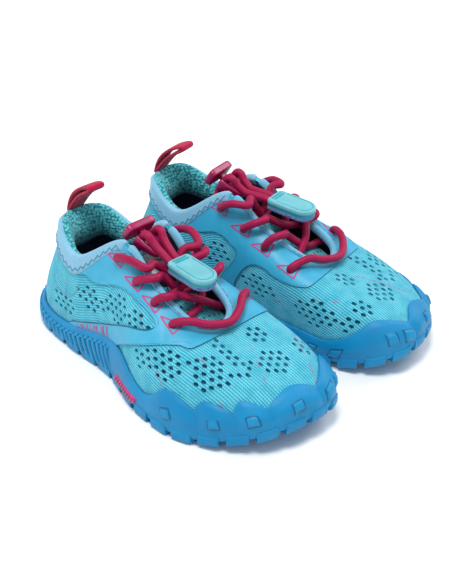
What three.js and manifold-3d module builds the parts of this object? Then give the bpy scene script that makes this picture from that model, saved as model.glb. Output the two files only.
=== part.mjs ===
// A pair of child's water shoes: knitted uppers on a toe-shaped rubber sole, closed by an elastic
// lace that runs through a sprung cord lock and ends in a pull tab. Lengths in mm, +Z up.
// Each shoe is drawn as the right one: heel at x = 0, toes towards +X, big toe side towards +Y.
// The left shoe is the same design mirrored.
import * as THREE from 'three';
import { mergeVertices } from 'three/addons/utils/BufferGeometryUtils.js';
import Module from 'manifold-3d';

const wasm = await Module();
wasm.setup();

// ---- Driving dimensions -------------------------------------------------------------------

// Sizes of the foot form (the last). The outlines below are drawn at the first value of each
// pair and graded to the second, as a shoemaker grades a last from one size to another.
const LAST_LENGTH = { drawn: 175, made: 175 };
const LAST_WIDTH = { drawn: 69, made: 69 };
const INSTEP_HEIGHT = { drawn: 60, made: 60 };

const TOE_SPRING = 9;          // how far the tip of the toe is lifted
const SPRING_START = 128;      // drawn x where the lift begins
const LUG_HEIGHT = 2.5;
const LUG = { first: 8, pitch: 17, count: 10, length: 10.5 };
const SLAB_THICKNESS = 3.1;
const FEATHER_HEIGHT = 6;      // where the upper starts, above the ground

const KNIT_THICKNESS = 1.6;
const OVERLAY_THICKNESS = 0.8;
const TAPE_THICKNESS = 0.6;
const BINDING_THICKNESS = 0.9;
const BINDING_HEIGHT = 9;      // height of its outer leg, and of the same leg at the flap corners
const BINDING_CORNER = 3.8;
const PAD_THICKNESS = 3.5;
const BOARD_THICKNESS = 1.2;
const INSOLE_THICKNESS = 3;
const INSOLE_INSET = 1.6;      // how much narrower the insole is than the board all round
const TONGUE_THICKNESS = 2.2;
const LABEL_THICKNESS = 0.6;
const BADGE_THICKNESS = 0.8;
const GAP = 0.3;               // running gap between neighbouring pieces

const RUBBER_BASE = 3.2;       // thickness of the rubber wall at its foot
const RUBBER_RIM = 1.5;        // and at its upper rim
const CREASE_DEPTH = 1.1;      // depth of the folds between the toe lobes

const LACE_DIAMETER = 4;
const EYELET_DIAMETER = 6;

const LOCK = {
  length: 21,                  // from the cap's outer face to the thin end
  capWidth: 16.8,
  capThickness: 4.2,
  press: 2.2,                  // travel of the button
  rearWidth: 15.4,
  frontWidth: 9.6,
  rearDepth: 8.6,
  frontDepth: 3.8,
  dish: 1.5,                   // depth of the hollow that the cords lie in
  holeAt: 8.8,                 // from the cap's outer face to the cord holes
  holeSpacing: 8,
  slope: 32,                   // degrees below level
};
const TAB = { length: 24.5, width: 13.6, cover: 3.1, backing: 2.8, fall: 5 };
const LOOP = { width: 10, strap: 1.4, eye: 3.2, length: 27, lean: 44 };

// ---- The last -----------------------------------------------------------------------------

// Fourteen stations round the shoe, from the middle of the heel along the little-toe side to the
// tip and back. foot is where the upper meets the sole, top is the edge of the opening, and
// lower and upper are the [outwards, upwards] handles of the curve that joins them.
const STATIONS = [
  { foot: [0, 0], top: [14, 0, 57], lower: [2, 20], upper: [-5, -18] },        // middle of the heel
  { foot: [12, -19], top: [22, -14.5, 58], lower: [3, 20], upper: [2, -17] },
  { foot: [41, -25], top: [42, -21, 50], lower: [3, 16], upper: [2, -14] },    // under the ankle
  { foot: [74, -27], top: [68, -12, 65], lower: [4, 20], upper: [9, -17] },    // corner of the flap
  { foot: [107, -37], top: [88, -12, 54], lower: [4, 20], upper: [15, -8] },   // ball of the foot
  { foot: [138, -37], top: [104, -13, 46], lower: [4, 16], upper: [17, -5] },  // little toe
  { foot: [166, -20], top: [117, -10, 40], lower: [4, 14], upper: [20, -5] },
  { foot: [175, 5], top: [122, 0, 38], lower: [4, 14], upper: [24, -6] },      // tip
  { foot: [170, 23], top: [117, 10, 40], lower: [4, 18], upper: [20, -4] },    // big toe
  { foot: [148, 32], top: [104, 13, 46], lower: [4, 18], upper: [16, -5] },
  { foot: [112, 28], top: [88, 13, 54], lower: [3, 20], upper: [13, -8] },
  { foot: [74, 23], top: [69, 14, 66], lower: [2, 20], upper: [9, -16] },      // corner of the flap
  { foot: [41, 23], top: [42, 20, 50], lower: [2, 16], upper: [2, -14] },
  { foot: [12, 18], top: [22, 14, 58], lower: [3, 20], upper: [2, -17] },
];
const AROUND = STATIONS.length;
const FLAP_LATERAL = 3;        // stations of the two flap corners
const FLAP_MEDIAL = 11;
const THROAT_FRONT = 7;

// Upper edge of the rubber: station, height above the ground, and whether it is a fold between lobes.
const RIM = [
  [0, 15.5], [1.5, 12], [3.4, 22], [4.15, 13.6], [4.9, 22], [5.25, 17.5, 'fold'], [5.5, 22],
  [5.75, 19.3, 'fold'], [6, 24], [6.25, 21.5, 'fold'], [6.8, 26], [7.25, 23.5, 'fold'], [7.95, 27],
  [9.4, 13.2], [10.5, 12.8], [11.25, 17], [12.4, 12.5], [14, 15.5],
];

const { clamp, degToRad, lerp, mapLinear } = THREE.MathUtils;
const grade = (size, value) => value * size.made / size.drawn;
const along = (value) => grade(LAST_LENGTH, value);
const across = (value) => grade(LAST_WIDTH, value);
const above = (value) => FEATHER_HEIGHT + grade(INSTEP_HEIGHT, value - FEATHER_HEIGHT);
const drawnPoint = (x, y, z) => new THREE.Vector3(along(x), across(y), above(z));

const lift = (x) => TOE_SPRING * Math.max(0, (x - along(SPRING_START)) / along(47)) ** 2;

const last = STATIONS.map(({ foot, top, lower, upper }) => ({
  foot: new THREE.Vector2(along(foot[0]), across(foot[1])),
  top: drawnPoint(...top),
  lower: [across(lower[0]), grade(INSTEP_HEIGHT, lower[1])],
  upper: [across(upper[0]), grade(INSTEP_HEIGHT, upper[1])],
}));

// A closed Catmull-Rom blend of one value of the stations.
function blended(u, pick) {
  const turn = ((u % AROUND) + AROUND) % AROUND;
  const base = Math.floor(turn);
  const t = turn - base;
  const [a, b, c, d] = [-1, 0, 1, 2].map((step) => pick(last[(base + step + AROUND) % AROUND]));
  return 0.5 * (2 * b + (c - a) * t + (2 * a - 5 * b + 4 * c - d) * t ** 2
    + (3 * b - a - 3 * c + d) * t ** 3);
}

function footPoint(u) {
  return new THREE.Vector2(blended(u, (s) => s.foot.x), blended(u, (s) => s.foot.y));
}

// Level direction out of the shoe at a station.
function outwardAt(u) {
  const foot = footPoint(u);
  const centre = new THREE.Vector2(clamp(foot.x, along(30), along(140)), 0);
  return foot.sub(centre).normalize();
}

// A point on the outside of the knitted upper: v runs from 0 at the sole to 1 at the opening.
function skin(u, v) {
  const foot = footPoint(u);
  const out = outwardAt(u);
  const top = new THREE.Vector3(...['x', 'y', 'z'].map((axis) => blended(u, (s) => s.top[axis])));
  const start = new THREE.Vector3(foot.x, foot.y, FEATHER_HEIGHT + lift(foot.x));
  const handle = (point, name) => {
    const reach = blended(u, (s) => s[name][0]);
    const rise = blended(u, (s) => s[name][1]);
    return point.clone().add(new THREE.Vector3(out.x * reach, out.y * reach, rise));
  };
  return new THREE.CubicBezierCurve3(start, handle(start, 'lower'), handle(top, 'upper'), top).getPoint(v);
}

const SMALL = 0.004;

function skinNormal(u, v) {
  const low = Math.max(v - SMALL, 0);
  const high = Math.min(v + SMALL, 1);
  const alongU = skin(u + SMALL, v).sub(skin(u - SMALL, v));
  const alongV = skin(u, high).sub(skin(u, low));
  return alongU.cross(alongV).normalize();
}

function skinUp(u, v) {
  return skin(u, Math.min(v + SMALL, 1)).sub(skin(u, Math.max(v - SMALL, 0))).normalize();
}

// A point that stands off the skin by a distance, outwards if positive.
const offSkin = (u, v, off) => skin(u, v).addScaledVector(skinNormal(u, v), off);

function solve(low, high, below) {
  let [a, b] = [low, high];
  for (let step = 0; step < 30; step += 1) {
    const middle = (a + b) / 2;
    if (below(middle)) a = middle;
    else b = middle;
  }
  return (a + b) / 2;
}

function rimHeight(u) {
  const turn = ((u % AROUND) + AROUND) % AROUND;
  const next = RIM.findIndex(([station], i) => i > 0 && turn <= station);
  const [[u0, z0, fold0], [u1, z1, fold1]] = [RIM[next - 1], RIM[next]];
  const t = (turn - u0) / (u1 - u0);
  const share = fold0 ? Math.sin(t * Math.PI / 2)
    : fold1 ? 1 - Math.cos(t * Math.PI / 2) : t * t * (3 - 2 * t);
  return above(z0 + (z1 - z0) * share);
}

// The v at which the skin passes the rubber's rim.
const rimV = (u) => solve(0, 0.9, (v) => skin(u, v).z < rimHeight(u));

const FOLDS = RIM.filter((entry) => entry[2]).map((entry) => entry[0]);
const FOLD_HALF_WIDTH = 0.2;
const crease = (u) => FOLDS.reduce((sum, fold) => (
  sum + CREASE_DEPTH * Math.max(0, 1 - Math.abs(u - fold) / FOLD_HALF_WIDTH)), 0);

// ---- Solids -------------------------------------------------------------------------------

const range = (count) => Array.from({ length: count }, (_, i) => i);
const steps = (from, to, count) => range(count + 1).map((i) => from + (to - from) * i / count);

// Drops normals and uvs, joins shared vertices and turns the faces outwards.
function closed(geometry) {
  geometry.deleteAttribute('normal');
  geometry.deleteAttribute('uv');
  const merged = mergeVertices(geometry, 1e-5);
  const points = merged.getAttribute('position');
  const index = [...merged.index.array];
  const corner = (k) => new THREE.Vector3().fromBufferAttribute(points, index[k]);
  let volume = 0;
  for (let k = 0; k < index.length; k += 3) volume += corner(k).dot(corner(k + 1).cross(corner(k + 2)));
  if (volume < 0) index.reverse();
  merged.setIndex(index);
  return merged;
}

// Joins sections, each a loop of the same number of points, with the shorter diagonal across each
// face. Without ring, the two ends are closed by the triangles of cap, given by places in the loop.
function loft(sections, { ring = false, cap = [] } = {}) {
  const size = sections[0].length;
  const index = [];
  const spans = ring ? sections.length : sections.length - 1;
  for (const i of range(spans)) {
    const next = (i + 1) % sections.length;
    for (const k of range(size)) {
      const after = (k + 1) % size;
      const [a, b, c, d] = [i * size + k, i * size + after, next * size + after, next * size + k];
      const [p, q, r, s] = [sections[i][k], sections[i][after], sections[next][after], sections[next][k]];
      if (p.distanceTo(r) < q.distanceTo(s)) index.push(a, b, c, a, c, d);
      else index.push(a, b, d, b, c, d);
    }
  }
  if (!ring) {
    const end = (sections.length - 1) * size;
    for (const [a, b, c] of cap) index.push(c, b, a, end + a, end + b, end + c);
  }
  const geometry = new THREE.BufferGeometry().setFromPoints(sections.flat());
  geometry.setIndex(index);
  return closed(geometry);
}

// Cap of a section that goes up one face and back down the other, with count points on each.
const stripCap = (count) => range(count - 1).flatMap((i) => {
  const far = 2 * count - 1 - i;
  return [[i, i + 1, far - 1], [i, far - 1, far]];
});

// A layer of the upper between two distances from the skin.
function layer(stations, heights, outer, inner, options = {}) {
  const sections = stations.map((u) => [
    ...heights.map((v) => offSkin(u, v, outer)),
    ...[...heights].reverse().map((v) => offSkin(u, v, inner)),
  ]);
  return loft(sections, { cap: stripCap(heights.length), ...options });
}

// The v that lies a distance below the edge of the opening.
const belowEdge = (u, distance) => solve(0.3, 1, (v) => skin(u, v).distanceTo(skin(u, 1)) > distance);

// The collar binding's outer leg gets shorter over the last stretch before each flap corner.
function bindingLeg(u) {
  const fromCorner = Math.min(Math.abs(AROUND + FLAP_LATERAL - u), Math.abs(u - FLAP_MEDIAL));
  return lerp(BINDING_CORNER, BINDING_HEIGHT, Math.min(1, fromCorner));
}

// A tape folded over the edge of the opening. outside and inside are the distances of its two legs
// from the skin, and the legs follow the skin down to their own lengths.
function edging(stations, { outside, inside, thickness, outerLeg, innerLeg }) {
  const sections = stations.map((u) => {
    const [edge, normal, up] = [skin(u, 1), skinNormal(u, 1), skinUp(u, 1)];
    const at = (a, b) => edge.clone().addScaledVector(normal, a).addScaledVector(up, b);
    const [outerLow, outerHalf, innerLow] = [outerLeg(u), outerLeg(u) / 2, innerLeg(u)]
      .map((leg) => belowEdge(u, leg));
    return [
      offSkin(u, outerLow, outside + thickness), offSkin(u, outerHalf, outside + thickness),
      at(outside + thickness, GAP + thickness), at(-inside - thickness, GAP + thickness),
      offSkin(u, innerLow, -inside - thickness), offSkin(u, innerLow, -inside),
      at(-inside, GAP), at(outside, GAP),
      offSkin(u, outerHalf, outside), offSkin(u, outerLow, outside),
    ];
  });
  const cap = [
    [0, 1, 8], [0, 8, 9], [1, 2, 7], [1, 7, 8], [2, 3, 6], [2, 6, 7], [3, 4, 5], [3, 5, 6],
  ];
  return loft(sections, { cap });
}

function polygon(sides, radius) {
  return range(sides).map((k) => {
    const angle = 2 * Math.PI * (k + 0.5) / sides;
    return new THREE.Vector2(radius * Math.cos(angle), radius * Math.sin(angle));
  });
}

function tube(curve, diameter, sections, sides = 8) {
  const shape = new THREE.Shape(polygon(sides, diameter / 2));
  const options = { steps: sections, extrudePath: curve, bevelEnabled: false };
  return closed(new THREE.ExtrudeGeometry(shape, options));
}

function manifold(geometry) {
  return new wasm.Manifold(new wasm.Mesh({
    numProp: 3,
    vertProperties: new Float32Array(geometry.getAttribute('position').array),
    triVerts: new Uint32Array(geometry.index.array),
  }));
}

function meshGeometry(solid) {
  const mesh = solid.getMesh();
  const geometry = new THREE.BufferGeometry();
  geometry.setAttribute('position', new THREE.BufferAttribute(mesh.vertProperties, 3));
  geometry.setIndex(new THREE.BufferAttribute(mesh.triVerts, 1));
  return geometry;
}

const join = (...geometries) => meshGeometry(geometries.map(manifold).reduce((a, b) => a.add(b)));
const cut = (body, ...tools) => meshGeometry(
  tools.map(manifold).reduce((a, b) => a.subtract(b), manifold(body)));
const common = (a, b) => meshGeometry(manifold(a).intersect(manifold(b)));

// A prism of an outline drawn in the side view, from one y to another.
function sidePrism(outline, from, to) {
  const shape = new THREE.Shape(outline.map(([x, z]) => new THREE.Vector2(along(x), above(z))));
  const geometry = new THREE.ExtrudeGeometry(shape, { depth: to - from, bevelEnabled: false });
  geometry.rotateX(Math.PI / 2);
  geometry.translate(0, to, 0);
  return closed(geometry);
}

// Stations used for the sections: close together round the heel and the toes, and wider apart on
// the straighter sides. Every layer of the upper uses the same ones, so the layers stay parallel.
const ALL_STATIONS = [
  ...steps(0, 1.5, 6), ...steps(2, 3.5, 3), ...steps(4, 9.5, 22),
  ...steps(10, 12.5, 5), ...steps(12.75, 13.75, 4),
];
const stationsBetween = (from, to) => [...ALL_STATIONS, ...ALL_STATIONS.map((u) => u + AROUND)]
  .filter((u) => u >= from && u <= to);
const collarStations = stationsBetween(FLAP_MEDIAL, AROUND + FLAP_LATERAL);
const throatStations = stationsBetween(FLAP_LATERAL + 0.25, FLAP_MEDIAL - 0.25);
const KNIT_HEIGHTS = [0, 0.2, 0.42, 0.64, 0.83, 1];

// ---- Sole and footbed ---------------------------------------------------------------------

// Outline of the sole at a distance outside the feather line, as its two y values at one x.
function widthAt(x, off) {
  const loop = steps(0, AROUND, AROUND * 8).map((u) => {
    const [foot, out] = [footPoint(u), outwardAt(u)];
    return [foot.x + out.x * off, foot.y + out.y * off];
  });
  const crossings = [];
  for (const i of range(loop.length - 1)) {
    const [[x0, y0], [x1, y1]] = [loop[i], loop[i + 1]];
    if ((x0 - x) * (x1 - x) < 0) crossings.push(y0 + (y1 - y0) * (x - x0) / (x1 - x0));
  }
  return [Math.min(...crossings), Math.max(...crossings)];
}

// A plate that follows the toe spring, as wide as the sole's outline at that distance.
function footPlate(off, low, high) {
  const [heel, toe] = [-off, footPoint(THROAT_FRONT).x + off];
  const middle = (heel + toe) / 2;
  const half = (toe - heel) / 2;
  const END = 0.985;
  const sections = steps(-1, 1, 18).map((t) => {
    const x = middle + half * END * Math.sin(t * Math.PI / 2);
    const [lateral, medial] = widthAt(x, off);
    const [bottom, top] = [low + lift(x), high + lift(x)];
    return [
      new THREE.Vector3(x, lateral, bottom), new THREE.Vector3(x, medial, bottom),
      new THREE.Vector3(x, medial, top), new THREE.Vector3(x, lateral, top),
    ];
  });
  return loft(sections, { cap: [[0, 1, 2], [0, 2, 3]] });
}

const SLAB_TOP = LUG_HEIGHT + SLAB_THICKNESS;
const BOARD_TOP = FEATHER_HEIGHT + BOARD_THICKNESS;
const INSOLE_BOTTOM = BOARD_TOP + GAP;
const INSOLE_TOP = INSOLE_BOTTOM + INSOLE_THICKNESS;
const INSIDE_KNIT = -(KNIT_THICKNESS + 0.5);

// One cross bar of the tread, ending a little inside the sole's edge.
function lug(from, to) {
  const INSET = 1;
  const sections = [from, to].map((x) => {
    const [lateral, medial] = widthAt(x, INSET);
    const [bottom, top] = [lift(x), LUG_HEIGHT + 1 + lift(x)];
    return [
      new THREE.Vector3(x, lateral, bottom), new THREE.Vector3(x, medial, bottom),
      new THREE.Vector3(x, medial, top), new THREE.Vector3(x, lateral, top),
    ];
  });
  return loft(sections, { cap: [[0, 1, 2], [0, 2, 3]] });
}

// Distance of the rubber wall's outer face from the skin, part of the way up to its rim.
const wallOff = (u, share) => lerp(RUBBER_BASE, RUBBER_RIM, share ** 1.6) - crease(u);

function outsole() {
  const inside = GAP + 0.2;
  const sections = ALL_STATIONS.map((u) => {
    const [foot, out, rim] = [footPoint(u), outwardAt(u), rimV(u)];
    const level = (off, height) => {
      const x = foot.x + out.x * off;
      return new THREE.Vector3(x, foot.y + out.y * off, height + lift(x));
    };
    return [
      level(-4, LUG_HEIGHT),
      level(RUBBER_BASE - 1, LUG_HEIGHT),
      level(RUBBER_BASE - crease(u) / 2, LUG_HEIGHT + 1.8),
      offSkin(u, rim * 0.45, wallOff(u, 0.45)),
      offSkin(u, rim * 0.85, wallOff(u, 0.85)),
      offSkin(u, rim, RUBBER_RIM - crease(u) / 2),
      offSkin(u, rim, inside),
      offSkin(u, rim * 0.5, inside),
      level(inside, FEATHER_HEIGHT),
      level(inside, SLAB_TOP),
      level(-4, SLAB_TOP),
    ];
  });
  const wall = loft(sections, { ring: true });
  const slab = footPlate(0, LUG_HEIGHT, SLAB_TOP);
  const lugs = range(LUG.count).map((i) => along(LUG.first + i * LUG.pitch))
    .map((x) => lug(x, x + LUG.length));
  return join(wall, slab, ...lugs);
}

const BADGE = { from: 3.3, to: 4.05, low: 5.2, high: 9.4 };

function badge() {
  const heightV = (u, z) => solve(0, 0.9, (v) => skin(u, v).z < z + lift(skin(u, v).x));
  const sections = steps(BADGE.from, BADGE.to, 5).map((u) => {
    const shift = (u - BADGE.from) * 0.4;
    const heights = [BADGE.low + 1.4, BADGE.high].map((z) => heightV(u - shift, z));
    const off = (v) => wallOff(u, v / rimV(u)) + GAP;
    return [
      ...heights.map((v) => offSkin(u, v, off(v) + BADGE_THICKNESS)),
      ...[...heights].reverse().map((v) => offSkin(u, v, off(v))),
    ];
  });
  return loft(sections, { cap: stripCap(2) });
}

// ---- Upper --------------------------------------------------------------------------------

// Eyelets from the ankle to the toe, as places on the skin.
const EYELETS = {
  lateral: [[3.03, 0.87], [3.74, 0.85], [4.5, 0.87], [5.26, 0.85]],
  medial: [[11.06, 0.87], [10.41, 0.8], [9.73, 0.79], [9.02, 0.73]],
};

function eyeletCutter([u, v]) {
  const REACH = 10;
  const cylinder = new THREE.CylinderGeometry(EYELET_DIAMETER / 2, EYELET_DIAMETER / 2, REACH, 8);
  const turn = new THREE.Quaternion().setFromUnitVectors(new THREE.Vector3(0, 1, 0), skinNormal(u, v));
  cylinder.applyQuaternion(turn);
  cylinder.translate(...skin(u, v).toArray());
  return closed(cylinder);
}

const eyeletCutters = Object.values(EYELETS).flat().map(eyeletCutter);

function knitUpper() {
  const shell = layer(ALL_STATIONS, KNIT_HEIGHTS, 0, -KNIT_THICKNESS, { ring: true });
  return cut(shell, ...eyeletCutters);
}

// Side outlines of the smooth overlay: eyelet stay, band round the front of the throat, and the
// arm that runs down to the sole between the knitted windows.
const OVERLAY_LATERAL = [
  [46, 44], [47, 50], [62, 85], [127.5, 85], [127.5, 37.9], [120, 37.6], [111, 36], [96.5, 30.5],
  [85, 24], [77, 18], [60, 8], [34, 8], [41.5, 15.2], [55.4, 20.8], [74.4, 28.4], [90.9, 36.1],
  [104.5, 39.6], [106, 41], [104.5, 42.4], [99, 44.6], [91.6, 46.6], [81.9, 48.3], [72.8, 47.2],
  [62.4, 43.6], [55.9, 42.7], [51, 44],
];
const OVERLAY_MEDIAL = [
  [46, 45], [47, 50], [62, 85], [127.5, 85], [127.5, 38], [120, 35.5], [106, 35.8], [99, 37.8],
  [92, 37.5], [87, 34], [83, 28], [80.5, 22], [80.5, 8], [68, 8], [72.3, 24.4], [76, 29.6],
  [80.5, 36.8], [80.7, 41.3], [77, 43], [71.8, 45.7], [65, 46.3], [56.4, 44], [50, 45],
];

function saddleOverlay() {
  const inner = GAP;
  const outer = GAP + OVERLAY_THICKNESS;
  const shell = layer(ALL_STATIONS, KNIT_HEIGHTS, outer, inner, { ring: true });
  const SPLIT = 0.5;
  const lateral = sidePrism(OVERLAY_LATERAL, -across(60), SPLIT);
  const medial = sidePrism(OVERLAY_MEDIAL, -SPLIT, across(60));
  const nearRubber = loft(ALL_STATIONS.map((u) => {
    const top = rimV(u) + 0.03;
    return [offSkin(u, 0, -3), offSkin(u, 0, 5), offSkin(u, top, 5), offSkin(u, top, -3)];
  }), { ring: true });
  const nearBinding = loft(collarStations.map((u) => {
    const low = belowEdge(u, bindingLeg(u) + GAP);
    const above = skin(u, 1).addScaledVector(skinUp(u, 1), 4);
    return [offSkin(u, low, -3), offSkin(u, low, 3), offSkin(u, 1, 4), above, offSkin(u, 1, -4)];
  }), { cap: [[0, 1, 2], [0, 2, 3], [0, 3, 4]] });
  return cut(common(shell, join(lateral, medial)), nearRubber, nearBinding, ...eyeletCutters);
}

// The padded collar lining inside the heel and ankle.
const LINING_HEIGHTS = [0.3, 0.42, 0.64, 0.83, 0.94];
const LINING_OUTSIDE = KNIT_THICKNESS + 2 * GAP + BINDING_THICKNESS;

function collarLining() {
  const stations = stationsBetween(FLAP_MEDIAL + 0.5, AROUND + FLAP_LATERAL - 0.5);
  return layer(stations, LINING_HEIGHTS, -LINING_OUTSIDE, -(LINING_OUTSIDE + PAD_THICKNESS));
}

const collarBinding = () => edging(collarStations, {
  outside: 2 * GAP,
  inside: KNIT_THICKNESS + GAP,
  thickness: BINDING_THICKNESS,
  outerLeg: bindingLeg,
  innerLeg: () => 3,
});

const throatTape = () => edging(throatStations, {
  outside: 2 * GAP + OVERLAY_THICKNESS,
  inside: KNIT_THICKNESS + 1.6 * GAP,
  thickness: TAPE_THICKNESS,
  outerLeg: () => 2.4,
  innerLeg: () => 2.4,
});

// ---- Tongue -------------------------------------------------------------------------------

// Crown of the tongue along the middle of the throat, and its fall towards its sides.
const TONGUE_CROWN = [[62, 54], [67, 53.6], [72, 52], [84, 47.2], [94, 42.6], [107, 38.4], [118, 34.2]];
const TONGUE_FRONT = 126;
const TONGUE_HALF_WIDTH = 15;
const TONGUE_DROP = 8;

// The front end lies against the inside of the vamp.
function tongueFront() {
  const v = solve(0.5, 1, (height) => skin(THROAT_FRONT, height).x > along(TONGUE_FRONT));
  const point = offSkin(THROAT_FRONT, v, -(KNIT_THICKNESS + GAP));
  return new THREE.Vector3(along(TONGUE_FRONT), 0, point.z);
}

const crownCurve = new THREE.CatmullRomCurve3(
  [...TONGUE_CROWN.map(([x, z]) => drawnPoint(x, 0, z)), tongueFront()]);

function crownAt(x) {
  const share = solve(0, 1, (t) => crownCurve.getPoint(t).x < x);
  return crownCurve.getPoint(share).z;
}

// A point on the tongue: x, place across from -1 to 1, and height over its upper face.
function onTongue(x, side, height) {
  const shape = Math.abs(side) ** 2.2;
  return new THREE.Vector3(x, side * across(TONGUE_HALF_WIDTH), crownAt(x) - TONGUE_DROP * shape + height);
}

function tongueSheet(from, to, lengthSteps, reach, widthSteps, low, high) {
  const sides = steps(-reach, reach, widthSteps);
  const sections = steps(along(from), along(to), lengthSteps).map((x) => [
    ...sides.map((side) => onTongue(x, side, high)),
    ...[...sides].reverse().map((side) => onTongue(x, side, low)),
  ]);
  return loft(sections, { cap: stripCap(sides.length) });
}

const tongue = () => tongueSheet(TONGUE_CROWN[0][0], TONGUE_FRONT, 9, 1, 6, -TONGUE_THICKNESS, 0);
const tongueLabel = () => tongueSheet(69, 80, 3, 0.5, 3, GAP + 0.1, GAP + 0.1 + LABEL_THICKNESS);

// ---- Lace, lock and tab -------------------------------------------------------------------

const LACE_RADIUS = LACE_DIAMETER / 2;
const LACE_CLEAR = LACE_RADIUS + GAP;
const OVER_FLAP = 2 * GAP + OVERLAY_THICKNESS + TAPE_THICKNESS + LACE_CLEAR;
const UNDER_FLAP = -(KNIT_THICKNESS + GAP + TAPE_THICKNESS + LACE_CLEAR);

// Share of the way to the crossing at which a cord passes the edge, for each row of eyelets.
const LEAVES_EDGE = [0.85, 0.6, 0.45];

// A cord's middle where it crosses its partner over the tongue.
function crossing(x, upper) {
  const lower = crownAt(x) + LACE_CLEAR + 0.5;
  return new THREE.Vector3(x, 0, lower + (upper ? LACE_DIAMETER + GAP : 0));
}

// Station on the throat's edge of a given x, on one side.
function edgeStation(side, x) {
  return side === 'lateral'
    ? solve(FLAP_LATERAL, THROAT_FRONT, (u) => skin(u, 1).x < x)
    : solve(THROAT_FRONT, FLAP_MEDIAL, (u) => skin(u, 1).x > x);
}

// The cord's points from a crossing, under the flap and out through an eyelet.
function throughEyelet(side, row, cameFrom, goesTo) {
  const [u, v] = EYELETS[side][row];
  const [centre, normal] = [skin(u, v), skinNormal(u, v)];
  const nearer = (x, share) => edgeStation(side, lerp(centre.x, x, share));
  const bulge = side === 'medial' ? 1.6 : 0;
  const under = cameFrom === null
    ? [offSkin(u, v, -6).lerp(new THREE.Vector3(centre.x, 0, centre.z), 0.12)]
    : [offSkin(nearer(cameFrom, 0.35), 0.985, UNDER_FLAP - 0.7)];
  const hole = [-3.6, -0.8, 2].map((off) => centre.clone().addScaledVector(normal, off));
  if (goesTo === null) return [...under, ...hole];
  const leave = nearer(goesTo, LEAVES_EDGE[row]);
  return [
    ...under, ...hole,
    offSkin(lerp(u, leave, 0.5), lerp(v, 1, 0.45), OVER_FLAP + 0.8 + bulge),
    offSkin(leave, 1, OVER_FLAP + 1.3 + bulge),
    offSkin(leave, 1, 1.4).addScaledVector(skinUp(leave, 1), LACE_CLEAR + GAP + TAPE_THICKNESS + 1.2),
  ];
}

// The cord lock's own frame: a along its length, b across, c out of its face.
function lockFrame(origin) {
  const slope = degToRad(LOCK.slope);
  const a = new THREE.Vector3(Math.cos(slope), 0, -Math.sin(slope));
  const b = new THREE.Vector3(0, 1, 0);
  const c = new THREE.Vector3().crossVectors(a, b);
  return new THREE.Matrix4().makeBasis(a, b, c).setPosition(origin);
}

const lockDepth = (a) => mapLinear(
  a, LOCK.capThickness, LOCK.length, LOCK.rearDepth, LOCK.frontDepth);

function elasticLace(frame, crossings) {
  const back = -(lockDepth(LOCK.holeAt) + GAP);
  const riser = (sign) => [
    new THREE.Vector3(LOCK.holeAt, sign * LOCK.holeSpacing / 2, back),
    new THREE.Vector3(LOCK.holeAt, sign * LOCK.holeSpacing / 2, back - 1.4),
    new THREE.Vector3(LOCK.holeAt + 0.8, sign * (LOCK.holeSpacing / 2 + 0.8), back - 3.4),
    new THREE.Vector3(LOCK.holeAt + 2, sign * (LOCK.holeSpacing / 2 + 3.4), back - 4.4),
  ].map((point) => point.applyMatrix4(frame));
  const x = crossings.map(along);
  const out = [
    ...riser(-1),
    ...throughEyelet('lateral', 0, null, x[0]), crossing(x[0], true),
    ...throughEyelet('medial', 1, x[0], x[1]), crossing(x[1], true),
    ...throughEyelet('lateral', 2, x[1], x[2]), crossing(x[2], true),
    ...throughEyelet('medial', 3, x[2], null),
  ];
  const bar = [[8.4, 0.88], [7.8, 0.93], [7, 0.94], [6.2, 0.94], [5.7, 0.92]]
    .map(([u, v]) => offSkin(u, v, OVER_FLAP + 0.9));
  const home = [
    ...throughEyelet('medial', 0, null, x[0]), crossing(x[0], false),
    ...throughEyelet('lateral', 1, x[0], x[1]), crossing(x[1], false),
    ...throughEyelet('medial', 2, x[1], x[2]), crossing(x[2], false),
    ...throughEyelet('lateral', 3, x[2], null),
  ];
  const points = [...out, ...bar, ...home.reverse(), ...riser(1).reverse()];
  return tube(new THREE.CatmullRomCurve3(points, false, 'centripetal'), LACE_DIAMETER, 120, 6);
}

function block(from, to) {
  const size = new THREE.Vector3().subVectors(to, from);
  const geometry = new THREE.BoxGeometry(...size.toArray());
  geometry.translate(...from.clone().add(to).multiplyScalar(0.5).toArray());
  return closed(geometry);
}

const corner = (a, b, c) => new THREE.Vector3(a, b, c);

// A body that tapers along a: each section is [a, half width, depth], with its top at c = 0.
function taper(list, chamfer) {
  const sections = list.map(([a, half, depth]) => [
    corner(a, half - chamfer, 0), corner(a, half, -chamfer), corner(a, half, chamfer - depth),
    corner(a, half - chamfer, -depth), corner(a, chamfer - half, -depth), corner(a, -half, chamfer - depth),
    corner(a, -half, -chamfer), corner(a, chamfer - half, 0),
  ]);
  return loft(sections, { cap: range(6).map((k) => [0, k + 1, k + 2]) });
}

const HOUSING_START = LOCK.capThickness + LOCK.press + GAP;
const STEM = { half: 1.7, low: -6.2, high: -3, end: 12.6 };
const BORE = { half: 2.6, low: -6.6, high: -2.3, end: 17.6 };
const SPRING = { diameter: 4, wire: 0.6, turns: 3 };

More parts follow.
